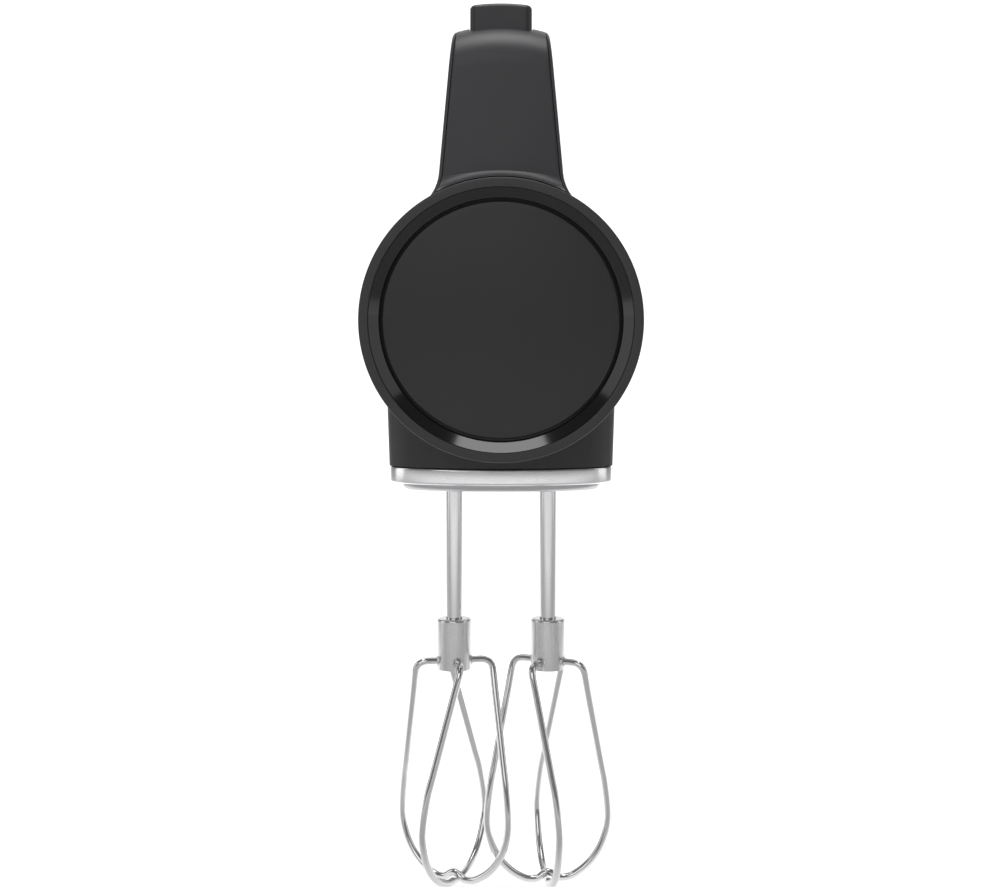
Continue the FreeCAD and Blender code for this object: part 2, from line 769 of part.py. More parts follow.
def armature_windings():
    front = tube_y(9.8, 3.2, 27.2, 30.95, 0, MOTOR_Z)
    back = tube_y(9.8, 3.2, 55.05, 59.2, 0, MOTOR_Z)
    front = round_edges(front, 1.2, lambda p, e: e.Closed and abs(e.BoundBox.XLength) > 15)
    back = round_edges(back, 1.2, lambda p, e: e.Closed and abs(e.BoundBox.XLength) > 15)
    coils = []
    for k in range(5):
        a = math.radians(90 + 72 * k)
        coils.append(cyl_y(1.25, 30.9, 55.1, 8.4 * math.cos(a), MOTOR_Z + 8.4 * math.sin(a)))
    return fuse([front, back] + coils)


def commutator():
    body = tube_y(5.0, 1.6, 60, 67, 0, MOTOR_Z)
    for k in range(5):
        slit = box(-0.25, 0.25, 59, 68, 4.2, 6)
        slit.rotate(V(0, 0, 0), V(0, 1, 0), 72 * k)
        slit.translate(V(0, 0, MOTOR_Z))
        body = body.cut(slit)
    return body


def cooling_fan():
    hub = tube_y(4.5, 1.6, 21.4, 26.2, 0, MOTOR_Z)
    disc = tube_y(13.5, 1.6, 25.2, 26.4, 0, MOTOR_Z)
    blades = []
    for k in range(9):
        blade = box(-0.5, 0.5, 21.6, 25.4, 4.0, 13.2)
        blade.rotate(V(0, 0, 0), V(0, 1, 0), 40 * k)
        blade.translate(V(0, 0, MOTOR_Z))
        blades.append(blade)
    return fuse([hub, disc] + blades)


def wiring():
    runs = []
    for s in (-1, 1):
        runs.append(sweep([V(s * 6, 75.2, 2.05), V(s * 6, 75.2, 7), V(s * 6, 75.2, 12.5),
                           V(s * 6, 73.6, 16.2), V(s * 6, 69, 17.2), V(s * 6, 60, 17.2),
                           V(s * 6, 40, 17), V(s * 6, 18, 17), V(s * 5, 4, 20),
                           V(s * 5, -8, 30), V(s * 5, -15.8, 40), V(s * 5, -18.4, 48),
                           V(s * 5, -18.4, 58), V(s * 5, -17.8, 65), V(s * 5, -12, 73.5),
                           V(s * 5, -4, 76), V(s * 5, 4.95, 76)], 0.9))
        runs.append(sweep([V(s * 9, -33.3, 22.2), V(s * 9, -28, 22.2), V(s * 10, -14, 21),
                           V(s * 10, 6, 19), V(s * 11, 24, 15.6), V(s * 12, 45, 12),
                           V(s * 11, 66, 5), V(s * 9, 73.2, -10), V(s * 8.5, 72.2, -16),
                           V(s * 8.5, 70.1, -17)], 0.8))
    return group(runs)


def contact_block():
    return box(-14, 14, 74.5, 81, -14, 2)


def contact_blades():
    return group([box(x - 0.4, x + 0.4, 81, 86.4, -12, -2) for x in (-9.0, 0.0, 9.0)])


# ---------------------------------------------------------------- eject parts

def eject_button():
    body = box(-BUTTON_HALF, BUTTON_HALF, BUTTON_FRONT_Y, BUTTON_BACK_Y, 86.2, BUTTON_TOP_Z)
    body = round_edges(body, 2.2, lambda p, e: e.BoundBox.ZLength > 10)
    crown = cyl_y(70, -60, 0, 0, BUTTON_TOP_Z - 70)
    body = body.common(crown)
    body = round_edges(body, 1.5, lambda p, e: p.z > 99)
    flange = box(-11.6, 11.6, -34.4, -10.6, 86.2, 87.8)
    hollow = box(-8.2, 8.2, -31.2, -13.8, 80, 100.2).cut(cyl_z(4.2, 80, 101, 0, ROD_Y))
    return fuse([body, flange]).cut(hollow)


def eject_fork():
    """The rod under the button and the fork that presses on both pins."""
    bar = box(-19, 19, -3.6, 3.6, 9.0, 12.0)
    bar = round_edges(bar, 3.0, lambda p, e: e.BoundBox.ZLength > 2.5)
    neck = box(-4.5, 4.5, -28, -3.5, 9.0, 12.0)
    rod = cyl_z(2.0, 11.5, 86.2, 0, ROD_Y)
    return fuse([bar, neck, rod, cyl_z(4.6, 70, 72, 0, ROD_Y)])


def eject_guide():
    inner = slab(WALL + 0.2)
    plate = box(-30, 30, -45, -9, 50, 52.5).common(inner)
    plate = plate.common(box(-30, 30, -45, -19.9, 40, 60))
    return plate.cut(cyl_z(2.35, 40, 60, 0, ROD_Y))


def eject_spring():
    helix = Part.makeHelix(2.6, 16.2, 3.2)
    path = Part.Wire(helix.Edges)
    ring = Part.Wire([Part.makeCircle(0.45, V(3.2, 0, 0), V(0, 1, 0.13))])
    coil = path.makePipeShell([ring], True, True)
    coil.translate(V(0, ROD_Y, 53.1))
    return coil


# ---------------------------------------------------------------- speed control

def speed_knob():
    base = box(-6, 6, 6, 22, 96.2, 98.6)
    base = round_edges(base, 2.5, lambda p, e: e.BoundBox.ZLength > 2)
    ridge = box(-5, 5, 10.5, 17.5, 98.5, 102.0)
    ridge = round_edges(ridge, 1.4, lambda p, e: p.z > 100)
    stem = box(-1.9, 1.9, 10.2, 17.8, 84.9, 96.3)
    return fuse([base, ridge, stem])


def speed_carriage():
    return box(-6.5, 6.5, 7, 21, 82.6, 84.9)


def speed_switch():
    body = box(-8, 8, 5, 44, 69, 82.3)
    return round_edges(body, 1.2, lambda p, e: e.BoundBox.ZLength > 10)


def status_lens():
    lens = cyl_z(2.2, 91.5, 96.0, 0, 62)
    return round_edges(lens, 0.6, lambda p, e: e.Closed and p.z > 95.9)


# ---------------------------------------------------------------- beaters

def spot(x, r, z, azimuth):
    a = math.radians(azimuth)
    return V(x + r * math.sin(a), -r * math.cos(a), z)


def corner_arc(before, corner, after, radius, steps=4):
    """Points of a round bend at a corner."""
    back = (before - corner).normalize()
    on = (after - corner).normalize()
    half = math.acos(back.dot(on)) / 2
    run = radius / math.tan(half)
    middle = corner + (back + on).normalize() * (radius / math.sin(half))
    first = corner + back * run - middle
    last = corner + on * run - middle
    whole = math.acos(first.dot(last) / radius ** 2)
    found = []
    for k in range(steps + 1):
        t = k / steps
        a = math.sin((1 - t) * whole) / math.sin(whole)
        b = math.sin(t * whole) / math.sin(whole)
        found.append(middle + first * a + last * b)
    return found


def wire_leg(x, hole, twist):
    """From the sleeve out, down the flank and round to the lower belly."""
    belly = hole + twist
    start = spot(x, 3.3, WIRE_HOLE_Z, hole)
    shoulder = spot(x, WIRE_SHOULDER_R, WIRE_HOLE_Z, hole)
    hip = spot(x, WIRE_BELLY_R, WIRE_BELLY_Z + 3, belly)
    points = [start, spot(x, 6.5, WIRE_HOLE_Z, hole)]
    points += corner_arc(start, shoulder, hip, 3.4)
    flank = points[-1]
    for t in (0.2, 0.45, 0.7, 0.86):
        points.append(flank + (hip - flank) * t)
    for degrees in (6, 20, 34, 48, 61, 72):
        t = math.radians(degrees)
        r = WIRE_BELLY_R * math.cos(t) ** 0.92
        z = WIRE_BELLY_Z - (WIRE_BELLY_Z - WIRE_LOW_Z) * math.sin(t) ** 0.95
        points.append(spot(x, r, z, belly))
    return points


def beater_wire(x, hole, twist, hump):
    belly = hole + twist
    bottom = []
    for r in (3.4, 1.7, 0.0, -1.7, -3.4):
        rise = hump * math.exp(-(r / 3.4) ** 2)
        bottom.append(spot(x, r, WIRE_LOW_Z + rise, belly))
    there = wire_leg(x, hole, twist)
    back = wire_leg(x, hole + 180, twist)
    return sweep(there + bottom + back[::-1], WIRE_R)


def beater_shaft(x):
    shaft = turned_z([(0, SHAFT_TOP_Z), (SHAFT_R - 0.8, SHAFT_TOP_Z),
                      (SHAFT_R, SHAFT_TOP_Z - 0.8), (SHAFT_R, -17.0), (SHAFT_R - 0.45, -17.4),
                      (SHAFT_R - 0.45, -18.8), (SHAFT_R, -19.2), (SHAFT_R, -118.2),
                      (0, -118.2)], x)
    wings = fuse([box(x - 4.5, x + 4.5, -0.65, 0.65, -53.5, -46.6),
                  box(x - 0.65, x + 0.65, -4.5, 4.5, -53.5, -46.6)])
    wings = wings.common(cyl_z(4.45, -54, -46, x))
    return fuse([shaft, wings])


def beater_sleeve(x, hole):
    sleeve = turned_z([(SHAFT_R, SLEEVE_TOP_Z), (4.9, SLEEVE_TOP_Z), (5.5, -102.0),
                       (SLEEVE_R, -102.7), (SLEEVE_R, -118.5), (5.4, SLEEVE_BOTTOM_Z),
                       (0, SLEEVE_BOTTOM_Z), (0, -118.2), (SHAFT_R, -118.2)], x)
    for k in range(4):
        a = math.radians(hole + 90 * k)
        way = V(math.sin(a), -math.cos(a), 0)
        drill = Part.makeCylinder(WIRE_R + 0.02, 6, V(x, 0, WIRE_HOLE_Z) + way * 3.25, way)
        sleeve = sleeve.cut(drill)
    return sleeve


# ---------------------------------------------------------------- battery

def battery_case():
    case = cyl_y(CASE_R, CASE_FRONT_Y, CAP_Y, 0, POD_Z)
    case = case.cut(cyl_y(31.6, CASE_FRONT_Y + 2, CAP_Y + 1, 0, POD_Z))
    for x in (-9.0, 0.0, 9.0):
        case = case.cut(box(x - 0.9, x + 0.9, 80, 87, -13, -1))
    return case


def battery_cap():
    cap = cyl_y(CASE_R, CAP_Y, CASE_BACK_Y, 0, POD_Z)
    cap = round_edges(cap, 1.4, lambda p, e: e.Closed and p.y > CASE_BACK_Y - 0.1)
    cap = cap.cut(box(-9.3, 9.3, 153.6, 170, 11, 40))
    scoop = box(-17, 17, 154.2, 170, -33, -21)
    scoop = round_edges(scoop, 4.5, lambda p, e: e.BoundBox.YLength > 10)
    return cap.cut(scoop)


def battery_latch():
    block = box(-9, 9, 153.9, 158.6, 14.3, 21.2)
    block = round_edges(block, 1.2, lambda p, e: e.BoundBox.YLength > 4)
    for z in (16.0, 17.8, 19.6):
        block = block.cut(box(-6, 6, 158.2, 160, z - 0.3, z + 0.3))
    return block.common(cyl_y(CASE_R + 0.2, 150, 170, 0, POD_Z))


CELLS = [(x, POD_Z + s * 9.7) for s in (-1, 1) for x in (-19.2, 0.0, 19.2)]


def battery_cells():
    made = []
    for x, z in CELLS:
        body = cyl_y(9.15, 87.6, 151.6, x, z)
        body = round_edges(body, 0.7, lambda p, e: e.Closed)
        made.append(fuse([body, cyl_y(2.6, 151.5, 152.4, x, z)]))
    return group(made)


def heel_ring():
    ring = tube_y(36.9, 34.9, POD_END_Y, HEEL_Y, 0, POD_Z)
    return round_edges(ring, 0.5, lambda p, e: e.Closed and p.y > HEEL_Y - 0.1)


# ---------------------------------------------------------------- assembly

def build():
    left, right, trim, pad = housing_parts()
    parts = {
        "housing_left": left, "housing_right": right, "handle_cover": trim, "grip_pad": pad,
        "nose_ring": nose_ring(), "nose_bevel": nose_bevel(), "nose_disc": nose_disc(),
        "control_board": control_board(), "board_parts": board_parts(),
        "base_band": base_band(), "base_plate": base_plate(), "base_screws": base_screws(),
        "heel_ring": heel_ring(), "housing_screws": housing_screws(),
        "gear_frame": gear_frame(), "gear_cover": gear_cover(), "frame_screws": frame_screws(),
        "spindle_bushes": group([bushes(-10, -5), bushes(-37, -32)]),
        "worm_bearing": tube_y(4.0, 1.66, -18, -14, 0, MOTOR_Z),
        "motor_can": motor_can(), "motor_end_cap": motor_end_cap(),
        "motor_magnets": motor_magnets(), "motor_brushes": motor_brushes(),
        "motor_mounts": motor_mounts(), "wiring": wiring(),
        "contact_block": contact_block(), "contact_blades": contact_blades(),
        "eject_guide": eject_guide(), "eject_spring": eject_spring(),
        "speed_switch": speed_switch(), "status_lens": status_lens(),
        "motor_shaft": cyl_y(1.6, -17.8, 72.5, 0, MOTOR_Z), "armature_core": armature_core(),
        "armature_windings": armature_windings(), "commutator": commutator(),
        "cooling_fan": cooling_fan(), "worm": worm(),
        "eject_button": eject_button(), "eject_fork": eject_fork(),
        "speed_knob": speed_knob(), "speed_carriage": speed_carriage(),
        "battery_case": battery_case(), "battery_cap": battery_cap(),
        "battery_cells": battery_cells(), "battery_latch": battery_latch(),
    }
    for name, s, hole, twist in (("left", -1, 12.0, -41.0), ("right", 1, -28.0, 37.0)):
        x = s * BEATER_X
        parts["spindle_" + name] = spindle(x)
        parts["worm_wheel_" + name] = worm_wheel(x)
        parts["eject_pin_" + name] = eject_pin(x)
        parts["beater_shaft_" + name] = beater_shaft(x)
        parts["beater_sleeve_" + name] = beater_sleeve(x, hole)
        parts["beater_wire_low_" + name] = beater_wire(x, hole, twist, 0.0)
        parts["beater_wire_over_" + name] = beater_wire(x, hole + 90, twist, WIRE_HUMP)
    return parts


def main():
    os.makedirs("parts", exist_ok=True)
    for name, shape in build().items():
        shape.translate(V(0, -GRIP_Y, -GRIP_Z))
        shape.exportStep("parts/" + name + ".step")
        print(name, shape.ShapeType, len(shape.Solids), round(shape.Volume), shape.isValid())


main()
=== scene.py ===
"""Looks of a cordless hand mixer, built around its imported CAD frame.

Every piece sits at the origin with its place in its mesh, in the row frame (metres, +Z up,
the nose towards -Y). The CAD nodes keep their shapes and get finishes; round and swept
pieces that catch the light are built again here with finer surfaces.
"""
import logging
import math
from dataclasses import dataclass, field
from enum import Enum
from typing import Iterable, Mapping, Optional, Sequence, Union

import bmesh
import bpy
from mathutils import Matrix, Vector


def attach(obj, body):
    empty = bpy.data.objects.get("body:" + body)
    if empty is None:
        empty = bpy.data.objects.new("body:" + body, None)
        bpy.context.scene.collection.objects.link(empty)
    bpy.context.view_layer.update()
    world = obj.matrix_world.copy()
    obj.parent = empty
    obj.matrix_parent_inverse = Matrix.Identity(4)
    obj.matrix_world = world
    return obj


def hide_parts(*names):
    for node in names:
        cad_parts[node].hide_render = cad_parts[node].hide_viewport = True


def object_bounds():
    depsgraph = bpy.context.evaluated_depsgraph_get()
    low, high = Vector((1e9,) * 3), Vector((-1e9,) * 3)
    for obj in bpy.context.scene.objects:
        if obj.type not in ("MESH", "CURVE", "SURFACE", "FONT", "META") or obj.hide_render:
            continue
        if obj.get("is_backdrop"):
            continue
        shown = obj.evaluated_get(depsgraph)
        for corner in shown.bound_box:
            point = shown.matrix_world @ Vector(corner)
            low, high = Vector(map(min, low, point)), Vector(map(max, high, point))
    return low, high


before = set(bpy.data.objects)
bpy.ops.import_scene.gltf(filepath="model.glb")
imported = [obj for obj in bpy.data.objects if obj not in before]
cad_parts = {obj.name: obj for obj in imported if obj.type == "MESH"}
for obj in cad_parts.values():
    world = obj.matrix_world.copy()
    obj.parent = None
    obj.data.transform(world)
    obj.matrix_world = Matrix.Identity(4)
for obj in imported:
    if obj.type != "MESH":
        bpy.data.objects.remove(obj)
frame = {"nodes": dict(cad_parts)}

logging.basicConfig(level=logging.INFO, format="%(levelname)s %(name)s: %(message)s")
log = logging.getLogger("mixer")

GRIP_Y_MM = 55.0
GRIP_Z_MM = 80.9
MM = 0.001
RANGE_INPUTS = ("From Min", "From Max", "To Min", "To Max")

Profile = Sequence[tuple[float, float]]


def at(x: float, y: float, z: float) -> Vector:
    """Turns body millimetres (zero on the nose axis over the beaters) into the row frame.

    Args:
        x: Across, in mm.
        y: Towards the rear from the beater axes, in mm.
        z: Up from the nose axis, in mm.

    Returns:
        The point in metres in the row frame.
    """
    return Vector((x * MM, (y - GRIP_Y_MM) * MM, (z - GRIP_Z_MM) * MM))


def srgb(hex_code: str) -> tuple[float, float, float, float]:
    """Turns an sRGB hex code into linear colour.

    Args:
        hex_code: Six hex digits, with or without a leading hash.

    Returns:
        Linear red, green, blue and an alpha of one.
    """
    digits = hex_code.lstrip("#")
    linear = []
    for i in (0, 2, 4):
        value = int(digits[i:i + 2], 16) / 255.0
        linear.append(value / 12.92 if value <= 0.04045 else ((value + 0.055) / 1.055) ** 2.4)
    return (linear[0], linear[1], linear[2], 1.0)


def add_node(tree: bpy.types.NodeTree, kind: str,
             inputs: Optional[Mapping[Union[str, int], object]] = None,
             **settings: object) -> bpy.types.Node:
    """Adds a node with its settings, values and links.

    Args:
        tree: The tree that gets the node.
        kind: Blender's name for the kind of node.
        inputs: The value of each input, or the output socket that feeds it.
        settings: Properties of the node, such as its operation.

    Returns:
        The new node.
    """
    node = tree.nodes.new(kind)
    for name, value in settings.items():
        setattr(node, name, value)
    for name, value in (inputs or {}).items():
        if isinstance(value, bpy.types.NodeSocket):
            tree.links.new(value, node.inputs[name])
        else:
            node.inputs[name].default_value = value
    return node


# ------------------------------------------------------------------ finishes


class Grain(Enum):
    """The kind of fine surface pattern a finish carries."""

    NONE = "none"
    MOULDED = "moulded"
    BRUSHED = "brushed"
    WOUND = "wound"


@dataclass(frozen=True)
class Finish:
    """One surface finish, in real units.

    Attributes:
        name: Material name.
        colour: sRGB hex code.
        roughness: Mean roughness.
        metallic: Share of metal.
        grain: Kind of pattern.
        grain_mm: Size of one grain in millimetres.
        relief_mm: Height of the pattern in millimetres.
        spread: How much the roughness varies either way.
        coat: Weight of a clear gloss layer.
        along: Axis that a brushed grain runs along, 0 to 2.
        clear: Share of light let through.
    """

    name: str
    colour: str
    roughness: float
    metallic: float = 0.0
    grain: Grain = Grain.NONE
    grain_mm: float = 0.6
    relief_mm: float = 0.01
    spread: float = 0.04
    coat: float = 0.0
    along: int = 2
    clear: float = 0.0


class Palette(Enum):
    """All finishes of the mixer."""

    SHELL = Finish("shell matte black", "#333336", 0.46, grain=Grain.MOULDED, grain_mm=0.35,
                   relief_mm=0.006)
    TRIM = Finish("trim matte black", "#37373a", 0.42, grain=Grain.MOULDED, grain_mm=0.35,
                  relief_mm=0.005)
    DISC = Finish("disc satin black", "#252527", 0.36, grain=Grain.MOULDED, grain_mm=0.30,
                  relief_mm=0.003)
    RING = Finish("ring satin black", "#333335", 0.40, grain=Grain.MOULDED, grain_mm=0.30,
                  relief_mm=0.003)
    GLOSS = Finish("gloss black", "#0e0e10", 0.12, spread=0.01)
    BUTTON = Finish("button black", "#2e2e31", 0.40, grain=Grain.MOULDED, grain_mm=0.3,
                    relief_mm=0.004)
    RUBBER = Finish("soft rubber", "#252527", 0.72, grain=Grain.MOULDED, grain_mm=0.5,
                    relief_mm=0.012)
    STEEL = Finish("polished steel", "#e2e2e3", 0.15, metallic=1.0, grain=Grain.BRUSHED,
                   grain_mm=0.25, relief_mm=0.0006, spread=0.03)
    SATIN = Finish("satin steel", "#dcdcdd", 0.27, metallic=1.0, grain=Grain.BRUSHED,
                   grain_mm=0.2, relief_mm=0.001, spread=0.05)
    BAND = Finish("brushed band", "#f2f2f3", 0.22, metallic=1.0, grain=Grain.BRUSHED,
                  grain_mm=0.18, relief_mm=0.0012, along=0, spread=0.04)
    PLATE = Finish("silver paint", "#c4c4c6", 0.32, metallic=0.85, grain=Grain.MOULDED,
                   grain_mm=0.2, relief_mm=0.002)
    NYLON = Finish("natural nylon", "#ddd7c4", 0.45, grain=Grain.MOULDED, grain_mm=0.4,
                   relief_mm=0.004)
    BRASS = Finish("sintered brass", "#b08d4a", 0.38, metallic=1.0, grain=Grain.MOULDED,
                   grain_mm=0.15, relief_mm=0.004)
    BOARD = Finish("solder mask green", "#0f5a34", 0.32, coat=0.3)
    CHIP = Finish("component grey", "#303134", 0.45)
    MAGNET = Finish("ferrite", "#4a4a4e", 0.6, grain=Grain.MOULDED, grain_mm=0.3)
    COPPER = Finish("enamelled copper", "#b4622f", 0.3, metallic=1.0, grain=Grain.WOUND,
                    grain_mm=0.5, relief_mm=0.12)
    BLADE = Finish("bare copper", "#c27a4d", 0.3, metallic=1.0)
    CARBON = Finish("carbon", "#1d1d1d", 0.7)
    LAMINATE = Finish("laminated iron", "#6e6f72", 0.42, metallic=1.0, grain=Grain.BRUSHED,
                      grain_mm=0.5, relief_mm=0.02, along=0)
    INSULATION = Finish("wire insulation", "#8c1f18", 0.45)
    CELL = Finish("cell sleeve", "#2f6da3", 0.25, coat=0.3)
    LENS = Finish("status lens", "#d6f2dc", 0.12, clear=0.7)
    FRAME = Finish("glass-filled nylon", "#515256", 0.5, grain=Grain.MOULDED, grain_mm=0.4)
    MARK = Finish("printed light grey", "#b9b9bb", 0.5)


class FinishShop:
    """Builds each finish once as a node material."""

    COAT_ROUGHNESS = 0.08
    BRUSH_STRETCH = 60.0
    BUMP_STRENGTH = 0.6
    BROAD_SCALE = 45.0
    GRAIN_SPAN = (0.3, 0.7)
    BROAD_SPAN = (0.25, 0.75)
    SHADE_SPAN = (0.965, 1.035)

    def __init__(self) -> None:
        """Starts with no materials."""
        self._made: dict[str, bpy.types.Material] = {}

    def get(self, finish: Palette) -> bpy.types.Material:
        """Returns the material of a finish, building it the first time.

        Args:
            finish: The palette entry wanted.

        Returns:
            The Blender material.
        """
        spec = finish.value
        if spec.name not in self._made:
            self._made[spec.name] = self._build(spec)
        return self._made[spec.name]

    def _build(self, spec: Finish) -> bpy.types.Material:
        """Makes the node tree of one finish.

        Args:
            spec: The finish.

        Returns:
            Its material.
        """
        material = bpy.data.materials.new(spec.name)
        material.use_nodes = True
        material.diffuse_color = srgb(spec.colour)
        tree = material.node_tree
        shader = tree.nodes["Principled BSDF"]
        values = {"Base Color": srgb(spec.colour), "Roughness": spec.roughness,
                  "Metallic": spec.metallic, "Coat Weight": spec.coat,
                  "Coat Roughness": self.COAT_ROUGHNESS, "Transmission Weight": spec.clear}
        for name, value in values.items():
            shader.inputs[name].default_value = value
        if spec.grain is not Grain.NONE:
            self._add_grain(tree, shader, spec)
        return material

    def _add_grain(self, tree: bpy.types.NodeTree, shader: bpy.types.Node,
                   spec: Finish) -> None:
        """Wires the fine pattern into bump, roughness and colour.

        Args:
            tree: The material's tree.
            shader: Its shader node.
            spec: The finish.
        """
        per_metre = 1.0 / (spec.grain_mm * MM)
        scale = [per_metre] * 3
        if spec.grain is Grain.BRUSHED:
            scale[spec.along] = per_metre / self.BRUSH_STRETCH
        place = add_node(tree, "ShaderNodeTexCoord").outputs["Object"]
        sized = add_node(tree, "ShaderNodeMapping",
                         {"Vector": place, "Scale": scale}).outputs["Vector"]
        noise = add_node(tree, "ShaderNodeTexNoise",
                         {"Vector": sized, "Scale": 1.0, "Detail": 3.0, "Roughness": 0.55})
        height = noise.outputs["Fac"]
        if spec.grain is Grain.WOUND:
            wave = add_node(tree, "ShaderNodeTexWave",
                            {"Vector": sized, "Scale": 0.5, "Distortion": 0.6})
            height = wave.outputs["Fac"]
        bump = add_node(tree, "ShaderNodeBump",
                        {"Height": height, "Strength": self.BUMP_STRENGTH,
                         "Distance": spec.relief_mm * MM})
        span = (*self.GRAIN_SPAN, spec.roughness - spec.spread, spec.roughness + spec.spread)
        level = add_node(tree, "ShaderNodeMapRange",
                         {"Value": noise.outputs["Fac"], **dict(zip(RANGE_INPUTS, span))})
        broad = add_node(tree, "ShaderNodeTexNoise",
                         {"Vector": place, "Scale": self.BROAD_SCALE, "Detail": 2.0})
        span = (*self.BROAD_SPAN, *self.SHADE_SPAN)
        shade = add_node(tree, "ShaderNodeMapRange",
                         {"Value": broad.outputs["Fac"], **dict(zip(RANGE_INPUTS, span))})
        tint = add_node(tree, "ShaderNodeHueSaturation",
                        {"Color": srgb(spec.colour), "Value": shade.outputs["Result"]})
        tree.links.new(bump.outputs["Normal"], shader.inputs["Normal"])
        tree.links.new(level.outputs["Result"], shader.inputs["Roughness"])
        tree.links.new(tint.outputs["Color"], shader.inputs["Base Color"])


# ------------------------------------------------------------------ mesh makers


class MeshMaker:
    """Turns points and faces into smooth meshes."""

    @staticmethod
    def build(name: str, verts: Iterable[Vector], faces: Iterable[Sequence[int]],
              sharp_degrees: float = 30.0) -> bpy.types.Object:
        """Makes an object at the origin from row-frame points.

        Args:
            name: Object name.
            verts: Corner points in metres.
            faces: Corner numbers of each face.
            sharp_degrees: Edges that bend more than this stay sharp.

        Returns:
            The object, linked to the scene.
        """
        mesh = bpy.data.meshes.new(name)
        mesh.from_pydata([tuple(v) for v in verts], [], [tuple(f) for f in faces])
        mesh.validate()
        shaped = bmesh.new()
        shaped.from_mesh(mesh)
        bmesh.ops.recalc_face_normals(shaped, faces=shaped.faces)
        limit = math.radians(sharp_degrees)
        for face in shaped.faces:
            face.smooth = True
        for edge in shaped.edges:
            edge.smooth = edge.calc_face_angle(0.0) < limit
        shaped.to_mesh(mesh)
        shaped.free()
        made = bpy.data.objects.new(name, mesh)
        bpy.context.scene.collection.objects.link(made)
        return made

    @staticmethod
    def turned(name: str, profile: Profile, centre: Vector, along: Vector,
               steps: int) -> bpy.types.Object:
        """Turns a closed profile about an axis.

        Args:
            name: Object name.
            profile: (radius, distance along the axis) points in mm.
            centre: Axis point in the row frame.
            along: Axis direction.
            steps: Number of steps round.

        Returns:
            The turned object.
        """
        axis = along.normalized()
        side = axis.orthogonal().normalized()
        up = axis.cross(side)
        verts = []
        for k in range(steps):
            a = 2 * math.pi * k / steps
            out = side * math.cos(a) + up * math.sin(a)
            for radius, height in profile:
                verts.append(centre + out * (radius * MM) + axis * (height * MM))
        count = len(profile)
        faces = []
        for k in range(steps):
            for i in range(count):
                j = (i + 1) % count
                n = (k + 1) % steps
                faces.append((k * count + i, k * count + j, n * count + j, n * count + i))
        made = MeshMaker.build(name, verts, faces)
        MeshMaker.weld(made)
        return made

    @staticmethod
    def weld(made: bpy.types.Object, distance: float = 1e-6) -> None:
        """Joins points that lie on one another and drops faces with no area.

        Args:
            made: The piece.
            distance: How close two points lie when they are one, in metres.
        """
        shaped = bmesh.new()
        shaped.from_mesh(made.data)
        bmesh.ops.remove_doubles(shaped, verts=shaped.verts, dist=distance)
        bmesh.ops.dissolve_degenerate(shaped, edges=shaped.edges, dist=distance)
        bmesh.ops.recalc_face_normals(shaped, faces=shaped.faces)
        shaped.to_mesh(made.data)
        shaped.free()


def rounded(profile: Profile, radius: float, steps: int = 5,
            keep: Sequence[int] = ()) -> list[tuple[float, float]]:
    """Rounds the corners of a closed profile.

    Args:
        profile: Corner points in mm.
        radius: Rounding radius in mm.
        steps: Points on each arc.
        keep: Corners left sharp.

    Returns:
        The profile with arcs.
    """
    made: list[tuple[float, float]] = []
    count = len(profile)
    for i, here in enumerate(profile):
        corner = Vector(here)
        back = Vector(profile[i - 1]) - corner
        on = Vector(profile[(i + 1) % count]) - corner
        reach = min(radius, back.length * 0.45, on.length * 0.45)
        if i in keep or reach < 1e-4:
            made.append(tuple(here))
            continue
        first = corner + back.normalized() * reach
        last = corner + on.normalized() * reach
        for k in range(steps + 1):
            t = k / steps
            spot = first * (1 - t) ** 2 + corner * (2 * t * (1 - t)) + last * t ** 2
            made.append((spot.x, spot.y))
    return made


# ------------------------------------------------------------------ geometry nodes


